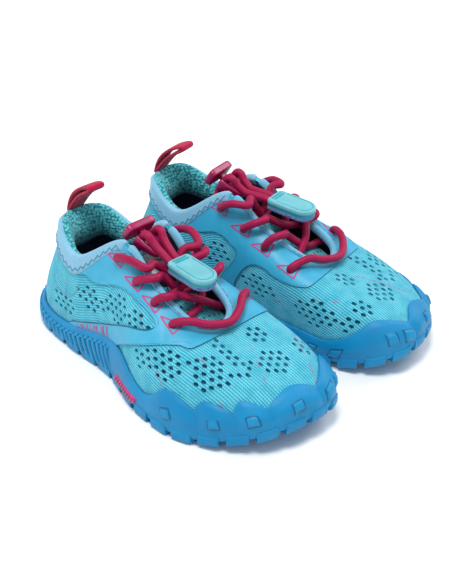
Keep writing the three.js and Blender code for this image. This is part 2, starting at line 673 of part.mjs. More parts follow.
function lockHousing() {
  const body = taper([
    [HOUSING_START, LOCK.rearWidth / 2, lockDepth(HOUSING_START)],
    [LOCK.holeAt + 3, LOCK.rearWidth / 2 - 0.4, lockDepth(LOCK.holeAt + 3)],
    [LOCK.length - 2, LOCK.frontWidth / 2, lockDepth(LOCK.length - 2)],
    [LOCK.length, LOCK.frontWidth / 2 - 1.5, lockDepth(LOCK.length)],
  ], 1.2);
  const holes = [-1, 1].map((sign) => {
    const hole = new THREE.CylinderGeometry(LACE_CLEAR, LACE_CLEAR, 24, 12);
    hole.rotateX(Math.PI / 2);
    hole.translate(LOCK.holeAt, sign * LOCK.holeSpacing / 2, 0);
    return closed(hole);
  });
  const dishHalf = LOCK.holeSpacing / 2 + LACE_CLEAR;
  const dish = taper([
    [LOCK.holeAt - LACE_CLEAR, dishHalf, 2 * LOCK.dish], [LOCK.length - 4, dishHalf, 2 * LOCK.dish],
    [LOCK.length + 2, dishHalf, 2 * LOCK.dish + 1],
  ], 0.1);
  dish.translate(0, 0, LOCK.dish);
  const bore = block(corner(0, -BORE.half, BORE.low), corner(BORE.end, BORE.half, BORE.high));
  return cut(body, ...holes, dish, bore);
}

function lockButton() {
  const cap = taper([
    [0, LOCK.capWidth / 2 - 1.2, LOCK.rearDepth + 0.2], [1, LOCK.capWidth / 2, LOCK.rearDepth + 0.6],
    [LOCK.capThickness, LOCK.capWidth / 2, LOCK.rearDepth + 0.6],
  ], 1.4);
  const root = corner(LOCK.capThickness - 1, -STEM.half, STEM.low);
  const stem = block(root, corner(STEM.end, STEM.half, STEM.high));
  return join(cap, stem);
}

class Helix extends THREE.Curve {
  constructor(radius, turns, length) {
    super();
    Object.assign(this, { radius, turns, length });
  }

  getPoint(t) {
    const angle = 2 * Math.PI * this.turns * t;
    return new THREE.Vector3(this.length * t, this.radius * Math.cos(angle), this.radius * Math.sin(angle));
  }
}

function lockSpring() {
  const radius = (SPRING.diameter - SPRING.wire) / 2;
  const from = STEM.end + GAP + SPRING.wire / 2;
  const length = BORE.end - GAP - SPRING.wire / 2 - from;
  const coil = tube(new Helix(radius, SPRING.turns, length), SPRING.wire, SPRING.turns * 9, 4);
  coil.translate(from, 0, (BORE.low + BORE.high) / 2);
  return coil;
}

// Middle of the tab's rear face, and its directions.
function tabFrame(start) {
  const fall = degToRad(TAB.fall);
  const a = new THREE.Vector3(Math.cos(fall), 0, -Math.sin(fall));
  const b = new THREE.Vector3(0, 1, 0);
  return new THREE.Matrix4().makeBasis(a, b, new THREE.Vector3().crossVectors(a, b)).setPosition(start);
}

const TAIL_SPACING = LACE_DIAMETER + GAP;

// One cord end: through the lock, out of its face, over the hollow and on to the tab.
function laceTail(frame, tab, sign) {
  const half = LOCK.holeSpacing / 2;
  const lie = LACE_CLEAR - LOCK.dish;
  const inLock = [
    [LOCK.holeAt, half, 0.1 - lockDepth(LOCK.holeAt)],
    [LOCK.holeAt, half, -4.5],
    [LOCK.holeAt, half, -1.5],
    [LOCK.holeAt + 0.6, half, lie + 0.9],
    [LOCK.holeAt + 2.6, half, lie + 1.7],
    [LOCK.holeAt + 5.5, half - 0.6, lie + 0.7],
    [LOCK.holeAt + 9.5, half - 1.1, lie + 0.1],
    [LOCK.length - 0.5, half - 1.4, lie + 0.2],
  ].map(([a, b, c]) => corner(a, sign * b, c).applyMatrix4(frame));
  const atTab = [[-3, TAIL_SPACING / 2, 0.2], [-GAP, TAIL_SPACING / 2, 0]]
    .map(([a, b, c]) => corner(a, sign * b, c).applyMatrix4(tab));
  const curve = new THREE.CatmullRomCurve3([...inLock, ...atTab], false, 'centripetal');
  return tube(curve, LACE_DIAMETER, 14);
}

function tabPlate(length, width, low, high) {
  const shape = new THREE.Shape();
  const half = width / 2;
  shape.moveTo(0, -half);
  shape.lineTo(length - half, -half);
  shape.absarc(length - half, 0, half, -Math.PI / 2, Math.PI / 2, false);
  shape.lineTo(0, half);
  shape.closePath();
  const options = { depth: high - low, bevelEnabled: false, curveSegments: 10 };
  const geometry = new THREE.ExtrudeGeometry(shape, options);
  geometry.translate(0, 0, low);
  return closed(geometry);
}

const tabCover = () => tabPlate(TAB.length, TAB.width, GAP / 2, GAP / 2 + TAB.cover);
const tabBacking = () => tabPlate(TAB.length - 0.6, TAB.width - 0.6, -(GAP / 2 + TAB.backing), -GAP / 2);

// ---- Heel pull loop -----------------------------------------------------------------------

function pullLoop() {
  const base = skin(0, 1).add(new THREE.Vector3(1, 0, BINDING_THICKNESS + 2 * GAP + LOOP.strap / 2));
  const lean = degToRad(LOOP.lean);
  const half = (LOOP.eye + LOOP.strap) / 2;
  const reach = LOOP.length - LOOP.strap;
  const outline = steps(0, 1, 19).slice(0, -1).map((t) => {
    const angle = 2 * Math.PI * t - Math.PI / 2;
    const [s, w] = [(1 + Math.sin(angle)) / 2, Math.cos(angle)];
    const swell = half * w * (0.35 + 0.65 * Math.sin(Math.PI * Math.min(1, 0.1 + s * 0.9)) ** 0.5);
    return { length: LOOP.strap / 2 + reach * s, side: swell };
  });
  const bend = (length, side) => {
    const turn = lean + degToRad(26) * (1 - length / LOOP.length * 1.9);
    const bow = 2.2 * Math.sin(Math.PI * length / LOOP.length);
    return base.clone()
      .add(new THREE.Vector3(Math.cos(lean) * length - bow, 0, Math.sin(lean) * length + bow))
      .add(new THREE.Vector3(-Math.sin(turn), 0, Math.cos(turn)).multiplyScalar(side));
  };
  const line = outline.map(({ length, side }) => bend(length, side));
  const count = line.length;
  const sections = line.map((point, i) => {
    const tangent = line[(i + 1) % count].clone().sub(line[(i + count - 1) % count]).normalize();
    const normal = new THREE.Vector3(-tangent.z, 0, tangent.x);
    const at = (a, b) => point.clone().addScaledVector(normal, a).add(new THREE.Vector3(0, b, 0));
    const [thin, wide] = [LOOP.strap / 2, LOOP.width / 2];
    return [at(thin, -wide), at(thin, wide), at(-thin, wide), at(-thin, -wide)];
  });
  return loft(sections, { ring: true });
}

// ---- The pair -----------------------------------------------------------------------------

const material = (color, roughness, metalness = 0) => (
  new THREE.MeshStandardMaterial({ color, roughness, metalness }));
const MATERIALS = {
  rubber: material('#0f86c8', 0.55),
  knit: material('#62c3cd', 0.9),
  film: material('#3fa6cf', 0.5),
  binding: material('#8fbfe0', 0.9),
  mesh: material('#3fb0b4', 0.95),
  cord: material('#d0125c', 0.6),
  moulded: material('#c9146a', 0.4),
  webbing: material('#b30f45', 0.8),
  label: material('#c9dfe4', 0.8),
  foam: material('#20355f', 0.95),
  board: material('#d9d4c4', 0.9),
  steel: material('#b8bcc0', 0.35, 1),
  tab: material('#86dbe2', 0.6),
  fleece: material('#6f86b8', 0.95),
};

function shoe(name, { lock, tab, crossings }) {
  const group = new THREE.Group();
  const add = (part, geometry, finish, matrix = null) => {
    const mesh = new THREE.Mesh(geometry, finish);
    mesh.name = `${name}_${part}`;
    if (matrix) mesh.applyMatrix4(matrix);
    group.add(mesh);
  };
  const frame = lockFrame(drawnPoint(...lock));
  const tabPlace = tabFrame(drawnPoint(...tab));
  add('outsole', outsole(), MATERIALS.rubber);
  add('side_badge', badge(), MATERIALS.moulded);
  add('strobel_board', footPlate(INSIDE_KNIT, FEATHER_HEIGHT, BOARD_TOP), MATERIALS.board);
  add('insole', footPlate(INSIDE_KNIT - INSOLE_INSET, INSOLE_BOTTOM, INSOLE_TOP), MATERIALS.foam);
  add('knit_upper', knitUpper(), MATERIALS.knit);
  add('saddle_overlay', saddleOverlay(), MATERIALS.film);
  add('collar_binding', collarBinding(), MATERIALS.binding);
  add('collar_lining', collarLining(), MATERIALS.mesh);
  add('throat_tape', throatTape(), MATERIALS.binding);
  add('tongue', tongue(), MATERIALS.knit);
  add('tongue_label', tongueLabel(), MATERIALS.label);
  add('pull_loop', pullLoop(), MATERIALS.webbing);
  add('elastic_lace', elasticLace(frame, crossings), MATERIALS.cord);
  add('lock_housing', lockHousing(), MATERIALS.moulded, frame);
  add('lock_button', lockButton(), MATERIALS.moulded, frame);
  add('lock_spring', lockSpring(), MATERIALS.steel, frame);
  add('lace_tail_lateral', laceTail(frame, tabPlace, -1), MATERIALS.cord);
  add('lace_tail_medial', laceTail(frame, tabPlace, 1), MATERIALS.cord);
  add('tab_cover', tabCover(), MATERIALS.tab, tabPlace);
  add('tab_backing', tabBacking(), MATERIALS.fleece, tabPlace);
  return group;
}

// The shoes stand side by side with their toes turned a little outwards. On the left one the
// lock sits further back on its cords.
const TOE_OUT = 5.9;
const LEFT_PLACE = { x: 2, y: 58.1 };
const pair = new THREE.Group();

const right = shoe('right', { lock: [66, 0, 72.5], tab: [92, 0, 59], crossings: [88, 96, 107] });
right.rotation.z = -degToRad(TOE_OUT);
pair.add(right);

const left = shoe('left', { lock: [54, 0, 73], tab: [87, 0, 62], crossings: [82, 94, 107] });
left.scale.y = -1;
left.rotation.z = degToRad(TOE_OUT);
left.position.set(LEFT_PLACE.x, LEFT_PLACE.y, 0);
pair.add(left);

// The origin is on the ground, under the middle of the pair.
pair.updateMatrixWorld(true);
const bounds = new THREE.Box3().setFromObject(pair, true);
pair.position.set(-(bounds.min.x + bounds.max.x) / 2, -(bounds.min.y + bounds.max.y) / 2, -bounds.min.z);
pair.updateMatrixWorld(true);

export default pair;
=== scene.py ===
"""A pair of child's water shoes, built round the frame that carries them.

Each shoe is worked out in its own drawing frame in millimetres: heel at x = 0, toes towards +X, big toe
side towards +Y and +Z up. A Place carries it into the row frame in metres, mirrored for the left shoe.
"""
from __future__ import annotations

import logging
import math
from dataclasses import dataclass, field
from enum import Enum

import bmesh
import bpy
import numpy as np
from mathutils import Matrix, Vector
from mathutils.kdtree import KDTree

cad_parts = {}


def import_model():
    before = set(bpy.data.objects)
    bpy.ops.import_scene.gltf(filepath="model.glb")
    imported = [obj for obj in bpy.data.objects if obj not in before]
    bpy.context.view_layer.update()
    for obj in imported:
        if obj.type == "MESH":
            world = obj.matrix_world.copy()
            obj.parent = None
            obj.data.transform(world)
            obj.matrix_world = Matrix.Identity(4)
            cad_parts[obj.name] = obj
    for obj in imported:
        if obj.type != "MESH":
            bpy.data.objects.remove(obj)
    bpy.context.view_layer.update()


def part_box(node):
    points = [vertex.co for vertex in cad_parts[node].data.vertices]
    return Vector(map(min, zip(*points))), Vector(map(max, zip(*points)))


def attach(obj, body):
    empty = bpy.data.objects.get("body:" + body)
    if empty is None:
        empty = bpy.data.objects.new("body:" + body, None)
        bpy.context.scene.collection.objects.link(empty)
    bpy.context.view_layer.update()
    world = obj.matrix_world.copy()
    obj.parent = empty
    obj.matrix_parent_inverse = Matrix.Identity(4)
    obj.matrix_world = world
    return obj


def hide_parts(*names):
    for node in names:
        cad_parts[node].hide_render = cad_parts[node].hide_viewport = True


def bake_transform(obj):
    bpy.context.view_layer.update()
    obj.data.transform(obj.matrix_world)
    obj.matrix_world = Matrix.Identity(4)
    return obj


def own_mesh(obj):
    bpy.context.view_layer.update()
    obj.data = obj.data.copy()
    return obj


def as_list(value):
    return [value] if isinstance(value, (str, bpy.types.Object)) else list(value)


LOG = logging.getLogger("water_shoes")
MM = 0.001
SMOOTH = "SMOOTHSTEP"
Array = np.ndarray
Rows = tuple[tuple[float, ...], ...]


# ---- Small tools ----------------------------------------------------------------------------


def unit(vectors: Array) -> Array:
    """Vectors scaled to length one along their last axis."""
    return vectors / np.maximum(np.linalg.norm(vectors, axis=-1, keepdims=True), 1e-9)


def smoothstep(value: Array, low: float, high: float) -> Array:
    """A smooth rise from 0 at low to 1 at high."""
    t = np.clip((value - low) / (high - low), 0, 1)
    return t * t * (3 - 2 * t)


def ping_pong(value: Array, half: float) -> Array:
    """A wave that rises from 0 to half and falls back, over a period of twice half."""
    return half - np.abs(np.mod(value, 2 * half) - half)


def between(a: Array, b: Array, c: Array, d: Array, t: Array) -> Array:
    """Points part t of the way from b to c, on a smooth curve through a, b, c and d."""
    return 0.5 * (
        2 * b + (c - a) * t + (2 * a - 5 * b + 4 * c - d) * t**2 + (3 * b - a - 3 * c + d) * t**3
    )


def smooth_path(points: Array, spacing: float, closed: bool = False) -> Array:
    """A centripetal Catmull-Rom curve through points, as evenly spaced points.

    Args:
        points: the points that it passes, one per row.
        spacing: distance between the points of the result.
        closed: whether the curve returns to its first point.

    Returns:
        The curve's points. A closed curve doesn't repeat its first point.
    """
    points = np.asarray(points, float)
    if closed:
        ring = np.vstack([points[-1], points, points[:2]])
    else:
        ring = np.vstack([2 * points[0] - points[1], points, 2 * points[-1] - points[-2]])
    t = np.linspace(0, 1, 24, endpoint=False)[:, None]
    spans = []
    for p0, p1, p2, p3 in zip(ring, ring[1:], ring[2:], ring[3:]):
        d0, d1, d2 = [max(np.linalg.norm(b - a), 1e-4) ** 0.5 for a, b in ((p0, p1), (p1, p2), (p2, p3))]
        leave = ((p1 - p0) / d0 - (p2 - p0) / (d0 + d1) + (p2 - p1) / d1) * d1
        reach = ((p2 - p1) / d1 - (p3 - p1) / (d1 + d2) + (p3 - p2) / d2) * d1
        cubic = 2 * p1 - 2 * p2 + leave + reach
        square = -3 * p1 + 3 * p2 - 2 * leave - reach
        spans.append(p1 + leave * t + square * t**2 + cubic * t**3)
    fine = np.vstack([*spans, ring[-2]])
    length = walked(fine)
    count = max(int(round(length[-1] / spacing)), 3)
    at = np.linspace(0, length[-1], count + 1)
    even = np.stack([np.interp(at, length, fine[:, k]) for k in range(fine.shape[1])], axis=1)
    return even[:-1] if closed else even


def walked(points: Array) -> Array:
    """How far along a line of points each of them lies."""
    return np.concatenate([[0], np.cumsum(np.linalg.norm(np.diff(points, axis=0), axis=1))])


@dataclass
class Shell:
    """A mesh in the drawing frame, with named numbers at its points.

    Args:
        points: one row for each point, in mm.
        faces: point numbers of each face.
        values: name to one number for each point, which materials read.
    """

    points: Array
    faces: list[tuple[int, ...]]
    values: dict[str, Array] = field(default_factory=dict)

    def joined(self, other: Shell) -> Shell:
        """This shell and another as one, with the values that both have.

        Args:
            other: the shell to add.

        Returns:
            The joined shell.
        """
        start = len(self.points)
        faces = self.faces + [tuple(start + k for k in face) for face in other.faces]
        values = {
            name: np.concatenate([self.values[name], other.values[name]])
            for name in self.values
            if name in other.values
        }
        return Shell(np.vstack([self.points, other.points]), faces, values)


def join_all(shells: list[Shell]) -> Shell:
    """Several shells as one.

    Args:
        shells: one or more shells.

    Returns:
        The joined shell.
    """
    whole = shells[0]
    for shell in shells[1:]:
        whole = whole.joined(shell)
    return whole


def grid_shell(points: Array, ring: bool = False, values: dict[str, Array] | None = None) -> Shell:
    """A closed skin over sections, each a closed loop of points.

    Args:
        points: (sections, points round each loop, 3) in mm.
        ring: whether the last section meets the first. Otherwise both ends are capped.
        values: name to (sections, points) numbers.

    Returns:
        The closed shell.
    """
    rows, columns = points.shape[:2]
    place = np.arange(rows * columns).reshape(rows, columns)
    after_row = np.roll(place, -1, 0)
    if not ring:
        place, after_row = place[:-1], after_row[:-1]
    quads = np.stack(
        [place, np.roll(place, -1, 1), np.roll(after_row, -1, 1), after_row], axis=-1
    ).reshape(-1, 4)
    faces = [tuple(q) for q in quads.tolist()]
    if not ring:
        last = (rows - 1) * columns
        faces.append(tuple(range(columns)))
        faces.append(tuple(last + k for k in range(columns)))
    flat = {name: np.asarray(v, float).reshape(-1) for name, v in (values or {}).items()}
    return Shell(points.reshape(-1, 3), faces, flat)


def sweep(
    path: Array,
    radius: float | Array,
    sides: int = 12,
    closed: bool = False,
    normals: Array | None = None,
    flat: float = 1.0,
) -> Shell:
    """A round or flattened bar along a path, with rounded ends.

    Args:
        path: the middle of the bar, in mm.
        radius: half its width, one number or one for each point of the path.
        sides: points round it.
        closed: whether the bar is a ring.
        normals: direction of its thin side at each point. Without it the bar doesn't twist.
        flat: thickness as a share of width.

    Returns:
        The bar, with the values along_mm and around_mm for patterns.
    """
    path = np.asarray(path, float)
    if closed:
        tangent = unit(np.roll(path, -1, 0) - np.roll(path, 1, 0))
    else:
        tangent = unit(np.gradient(path, axis=0))
    if normals is None:
        normal = np.zeros_like(path)
        seed = np.array([0.0, 0.0, 1.0]) if abs(tangent[0, 2]) < 0.9 else np.array([1.0, 0.0, 0.0])
        normal[0] = unit(seed - tangent[0] * (seed @ tangent[0]))
        for k in range(1, len(path)):
            step = normal[k - 1] - tangent[k] * (normal[k - 1] @ tangent[k])
            normal[k] = unit(step)
    else:
        normal = unit(normals - tangent * (normals * tangent).sum(1, keepdims=True))
    side = np.cross(tangent, normal)
    width = np.broadcast_to(np.asarray(radius, float), (len(path),)).copy()
    along = walked(path)
    if not closed:
        # Two smaller sections beyond each end round it off: how far out, and what share of the width.
        caps, blunt = ((0.9, 0.42), (0.55, 0.84)), min(flat * 1.5, 1)
        head = [path[0] - tangent[0] * (out * width[0] * blunt) for out, _ in caps]
        tail = [path[-1] + tangent[-1] * (out * width[-1] * blunt) for out, _ in caps[::-1]]
        path = np.concatenate([head, path, tail])
        head_width = [width[0] * size for _, size in caps]
        tail_width = [width[-1] * size for _, size in caps[::-1]]
        width = np.concatenate([head_width, width, tail_width])
        normal, side, along = [
            np.concatenate([[row[0]] * 2, row, [row[-1]] * 2]) for row in (normal, side, along)
        ]
    angle = 2 * np.pi * (np.arange(sides) + 0.5) / sides
    ring = (
        path[:, None]
        + side[:, None] * (width[:, None] * np.cos(angle))[..., None]
        + normal[:, None] * (width[:, None] * flat * np.sin(angle))[..., None]
    )
    values = {
        "along_mm": np.repeat(along[:, None], sides, 1),
        "around_mm": np.repeat((angle * np.max(width))[None], len(path), 0),
    }
    return grid_shell(ring, ring=closed, values=values)


def linear(code: str, alpha: float = 1.0) -> tuple[float, float, float, float]:
    """An sRGB hex colour as linear red, green, blue and alpha.

    Args:
        code: the colour as #rrggbb.
        alpha: its opacity.

    Returns:
        The linear colour.
    """
    parts = [int(code[k : k + 2], 16) / 255 for k in (1, 3, 5)]
    r, g, b = [c / 12.92 if c <= 0.04045 else ((c + 0.055) / 1.055) ** 2.4 for c in parts]
    return r, g, b, alpha


# ---- Finishes -------------------------------------------------------------------------------


class Graph:
    """The nodes of one material, which starts with a Principled shader."""

    def __init__(self, name: str) -> None:
        """Makes an empty material with its shader and output.

        Args:
            name: the material's name.
        """
        self.material = bpy.data.materials.new(name)
        self.material.use_nodes = True
        self.nodes = self.material.node_tree.nodes
        self.links = self.material.node_tree.links
        self.shader = self.nodes["Principled BSDF"]

    def add(
        self, kind: str, *values: object, more: dict | None = None, out: int | str = 0, **settings: object
    ) -> bpy.types.NodeSocket:
        """Adds a node with its settings and links.

        Args:
            kind: its type without the ShaderNode prefix.
            values: for its inputs from the first one on, a number or the socket that feeds it.
            more: further inputs, by name or number.
            out: the output to hand back, by name or number.
            settings: the node's own properties.

        Returns:
            The output.
        """
        node = self.nodes.new("ShaderNode" + kind)
        for name, value in settings.items():
            setattr(node, name, value)
        for key, value in [*enumerate(values), *(more or {}).items()]:
            self.feed(node.inputs[key], value)
        return node.outputs[out]

    def feed(self, socket: bpy.types.NodeSocket, value: object) -> None:
        """Links a socket to another, or sets its value.

        Args:
            socket: the input.
            value: a number, a colour or an output.
        """
        if isinstance(value, bpy.types.NodeSocket):
            self.links.new(value, socket)
        else:
            socket.default_value = value

    def dress(self, **inputs: object) -> None:
        """Sets or links the shader's sockets, named with _ for a space."""
        for name, value in inputs.items():
            self.feed(self.shader.inputs[name.replace("_", " ")], value)


@dataclass(frozen=True)
class MouldedRubber:
    """Compression-moulded rubber: dull, a little dusty, with a fine grain left by the mould.

    Painted highlight pales its ribs and pads, and painted shade darkens its grooves, so the relief shows in
    flat light.
    """

    name: str
    colour: str
    worn: str
    # The last two colours: painted shade in the grooves, painted highlight on raised faces.
    groove: str
    top: str
    roughness: float = 0.5
    grain_mm: float = 0.35
    dust_mm: float = 14.0
    haze_mm: float = 5.0

    def make(self) -> bpy.types.Material:
        """Builds the material.

        Returns:
            The material.
        """
        graph = Graph(self.name)
        add = graph.add
        place = add("TexCoord", out="Object")
        raised = add("Attribute", out="Fac", attribute_name="raised")
        dust = add("TexNoise", place, 0, 1 / (self.dust_mm * MM), 4)
        dust = add("MapRange", dust, 0.35, 0.75, interpolation_type=SMOOTH)
        # Painted highlight on raised faces and painted shade in grooves, both read from the relief's tone.
        painted_highlight = add("MapRange", raised, 0.1, 0.8, 0, 0.35, interpolation_type=SMOOTH)
        sunk = add("Math", raised, -1, operation="MULTIPLY")
        painted_groove_shade = add("MapRange", sunk, 0.05, 0.5, 0, 0.75, interpolation_type=SMOOTH)
        face = linear(self.colour)
        for share, tint in ((dust, self.worn), (painted_highlight, self.top), (painted_groove_shade, self.groove)):
            face = add("Mix", share, more={6: face, 7: linear(tint)}, out=2, data_type="RGBA")
        haze = add("TexNoise", place, 0, 1 / (self.haze_mm * MM), 3)
        grain = add("TexNoise", place, 0, 1 / (self.grain_mm * MM), 2)
        graph.dress(
            Base_Color=face,
            Roughness=add("Math", haze, 0.16, self.roughness - 0.08, operation="MULTIPLY_ADD"),
            Normal=add("Bump", 0.5, 0.05 * MM, more={"Height": grain}),
        )
        graph.shader.inputs["IOR"].default_value = 1.52
        graph.shader.inputs["Specular IOR Level"].default_value = 0.3
        return graph.material


@dataclass(frozen=True)
class RibbedKnit:
    """Polyester flat knit: soft ribs that run the length of the shoe, with dark thin rows between
    them, small V loops along each rib, and odd pink threads that cross them slantwise.

    The real loops are near 0.6 mm, too fine to show at this distance, so they are drawn at 1 mm.
    """

    name: str
    yarn: str
    shade: str
    between: str
    accent: str
    rib_mm: float = 1.35
    loop_mm: float = 1.0
    accent_pitch_mm: float = 23.0

    def make(self) -> bpy.types.Material:
        """Builds the material.

        Returns:
            The material.
        """
        graph = Graph(self.name)
        add = graph.add
        place = add("TexCoord", out="Object")
        across, along = [add("Attribute", out="Fac", attribute_name=n) for n in ("across_mm", "run_mm")]
        half_rib, half_loop = self.rib_mm / 2, self.loop_mm / 2
        # The ribs wander by a third of a millimetre, as knitted ones do.
        wander = add("TexNoise", place, 0, 1 / (9 * MM), 1)
        wander = add("Math", wander, 0.7, -0.35, operation="MULTIPLY_ADD")
        rib = add("Math", across, wander, operation="ADD")
        rib = add("Math", rib, half_rib, operation="PINGPONG")
        chevron = add("Math", rib, 0.9, along, operation="MULTIPLY_ADD")
        loop = add("Math", chevron, half_loop, operation="PINGPONG")
        gap = add("MapRange", rib, 0.12, 0.34, 1, 0, interpolation_type=SMOOTH)
        hole = add("MapRange", loop, 0.02, 0.3, 1, 0, interpolation_type=SMOOTH)
        deep = add("Math", hole, 0.3325, 0.6175, operation="MULTIPLY_ADD")
        deep = add("Math", gap, deep, operation="MULTIPLY")
        faded = add("TexNoise", place, 0, 1 / (6 * MM), 3)
        faded = add("MapRange", faded, 0.35, 0.7, interpolation_type=SMOOTH)
        slant = add("Math", across, 0.87, operation="MULTIPLY")
        slant = add("Math", along, 0.5, slant, operation="MULTIPLY_ADD")
        pink = add("Math", slant, self.accent_pitch_mm / 2, operation="PINGPONG")
        pink = add("MapRange", pink, 0.25, 0.55, 0.7, 0, interpolation_type=SMOOTH)
        patch = add("TexNoise", place, 0, 1 / (7 * MM), 1)
        for value, low, high in ((patch, 0.5, 0.62), (rib, 0.1, 0.35)):
            shown = add("MapRange", value, low, high, interpolation_type=SMOOTH)
            pink = add("Math", pink, shown, operation="MULTIPLY")
        face = linear(self.yarn)
        for share, tint in (
            (faded, self.shade), (add("Math", hole, 0.28, operation="MULTIPLY"), self.between),
            (deep, self.between), (pink, self.accent),
        ):
            face = add("Mix", share, more={6: face, 7: linear(tint)}, out=2, data_type="RGBA")
        ribs = add("MapRange", rib, 0, half_rib, 0, 0.7, interpolation_type=SMOOTH)
        loops = add("MapRange", loop, 0, half_loop, 0, 0.3, interpolation_type=SMOOTH)
        height = add("Math", ribs, loops, operation="ADD")
        relief = add("Bump", 0.9, 0.4 * MM, more={"Height": height})
        graph.dress(Base_Color=face, Roughness=0.86, Normal=relief)
        graph.shader.inputs["Sheen Weight"].default_value = 0.12
        graph.shader.inputs["Specular IOR Level"].default_value = 0.25
        return graph.material


@dataclass(frozen=True)
class WovenTape:
    """Woven or knitted narrow fabric, such as binding tape or webbing.

    Painted shade darkens the valleys between its fine cross ribs, so the band looks soft and turned over the
    edge.
    """

    name: str
    yarn: str
    shade: str
    rib_mm: float
    depth_mm: float = 0.2
    sheen: float = 0.15

    def make(self) -> bpy.types.Material:
        """Builds the material.

        Returns:
            The material.
        """
        graph = Graph(self.name)
        add = graph.add
        along, across = [add("Attribute", out="Fac", attribute_name=n) for n in ("along_mm", "around_mm")]
        half_rib, half_weft = self.rib_mm / 2, self.rib_mm * 0.35
        rib = add("Math", along, half_rib, operation="PINGPONG")
        weft = add("Math", across, half_weft, operation="PINGPONG")
        # Painted shade in the valleys between the ribs; the noise adds random fading.
        painted_valley_shade = add("MapRange", rib, 0, self.rib_mm * 0.3, 0.6, 0, interpolation_type=SMOOTH)
        faded = add("TexNoise", add("TexCoord", out="Object"), 0, 1 / (3 * MM), 3)
        share = add("Math", faded, 0.35, painted_valley_shade, operation="MULTIPLY_ADD")
        ribs = add("MapRange", rib, 0, half_rib, 0, 0.75, interpolation_type=SMOOTH)
        wefts = add("MapRange", weft, 0, half_weft, 0, 0.25, interpolation_type=SMOOTH)
        height = add("Math", ribs, wefts, operation="ADD")
        yarns = {6: linear(self.yarn), 7: linear(self.shade)}
        graph.dress(
            Base_Color=add("Mix", share, more=yarns, out=2, data_type="RGBA"),
            Roughness=0.85,
            Normal=add("Bump", 0.8, self.depth_mm * MM, more={"Height": height}),
        )
        graph.shader.inputs["Sheen Weight"].default_value = self.sheen
        graph.shader.inputs["Specular IOR Level"].default_value = 0.25
        return graph.material


@dataclass(frozen=True)
class BraidedCord:
    """Elastic cord with a braided polyester cover: fine strands cross in two slants.

    The real strands are near 0.5 mm apart and are drawn at 1.3 mm, as coarse as they need to show.
    """

    name: str
    strand: str
    shade: str
    pitch_mm: float = 1.3

    def make(self) -> bpy.types.Material:
        """Builds the material.

        Returns:
            The material.
        """
        graph = Graph(self.name)
        add = graph.add
        along, around = [add("Attribute", out="Fac", attribute_name=n) for n in ("along_mm", "around_mm")]
        right, left = [
            add("Math", add("Math", along, around, operation=way), self.pitch_mm / 2, operation="PINGPONG")
            for way in ("ADD", "SUBTRACT")
        ]
        weave = add("Math", right, left, operation="MINIMUM")
        weave = add("MapRange", weave, 0, self.pitch_mm * 0.35, interpolation_type=SMOOTH)
        share = add("Math", weave, -0.55, 0.55, operation="MULTIPLY_ADD")
        strands = {6: linear(self.strand), 7: linear(self.shade)}
        graph.dress(
            Base_Color=add("Mix", share, more=strands, out=2, data_type="RGBA"),
            Roughness=0.48,
            Normal=add("Bump", 0.6, 0.1 * MM, more={"Height": weave}),
        )
        graph.shader.inputs["Sheen Weight"].default_value = 0.02
        graph.shader.inputs["Specular IOR Level"].default_value = 0.25
        return graph.material


@dataclass(frozen=True)
class SpacerMesh:
    """Open padded mesh or jersey: rounded knots of yarn with dark holes between them."""

    name: str
    yarn: str
    hollow: str
    knot_mm: float
    depth_mm: float = 0.6

    def make(self) -> bpy.types.Material:
        """Builds the material.

        Returns:
            The material.
        """
        graph = Graph(self.name)
        add = graph.add
        place = add("TexCoord", out="Object")
        cell = add("TexVoronoi", place, 0, 1 / (self.knot_mm * MM), more={"Randomness": 0.55}, feature="F1")
        hollow = add("MapRange", cell, 0.35, 0.72, 0, 0.75, interpolation_type=SMOOTH)
        knot = add("MapRange", cell, 0.35, 0.72, 1, 0, interpolation_type=SMOOTH)
        faded = add("TexNoise", place, 0, 1 / (1.2 * MM), 2)
        share = add("Math", faded, 0.3, hollow, operation="MULTIPLY_ADD")
        yarns = {6: linear(self.yarn), 7: linear(self.hollow)}
        graph.dress(
            Base_Color=add("Mix", share, more=yarns, out=2, data_type="RGBA"),
            Roughness=0.92,
            Normal=add("Bump", 0.9, self.depth_mm * MM, more={"Height": knot}),
        )
        graph.shader.inputs["Sheen Weight"].default_value = 0.2
        graph.shader.inputs["Specular IOR Level"].default_value = 0.2
        return graph.material


@dataclass(frozen=True)
class Moulded:
    """Injection-moulded or cast plastic: smooth, with faint ripples and a soft gloss.

    With metallic 1 it is drawn steel wire, whose ripples stand for the marks of the die.
    """

    name: str
    colour: str
    shade: str
    roughness: float = 0.36
    ripple: float = 0.06
    metallic: float = 0.0

    def make(self) -> bpy.types.Material:
        """Builds the material.

        Returns:
            The material.
        """
        graph = Graph(self.name)
        add = graph.add
        place = add("TexCoord", out="Object")
        cloud, haze, wave = [
            add("TexNoise", place, 0, 1 / (size_mm * MM), detail)
            for size_mm, detail in ((8, 3), (2.5, 3), (2, 2))
        ]
        cloud = add("MapRange", cloud, 0.3, 0.75, interpolation_type=SMOOTH)
        tints = {6: linear(self.colour), 7: linear(self.shade)}
        graph.dress(
            Base_Color=add("Mix", cloud, more=tints, out=2, data_type="RGBA"),
            Roughness=add("Math", haze, 0.14, self.roughness - 0.07, operation="MULTIPLY_ADD"),
            Normal=add("Bump", 0.5, self.ripple * MM, more={"Height": wave}),
        )
        graph.shader.inputs["Metallic"].default_value = self.metallic
        return graph.material


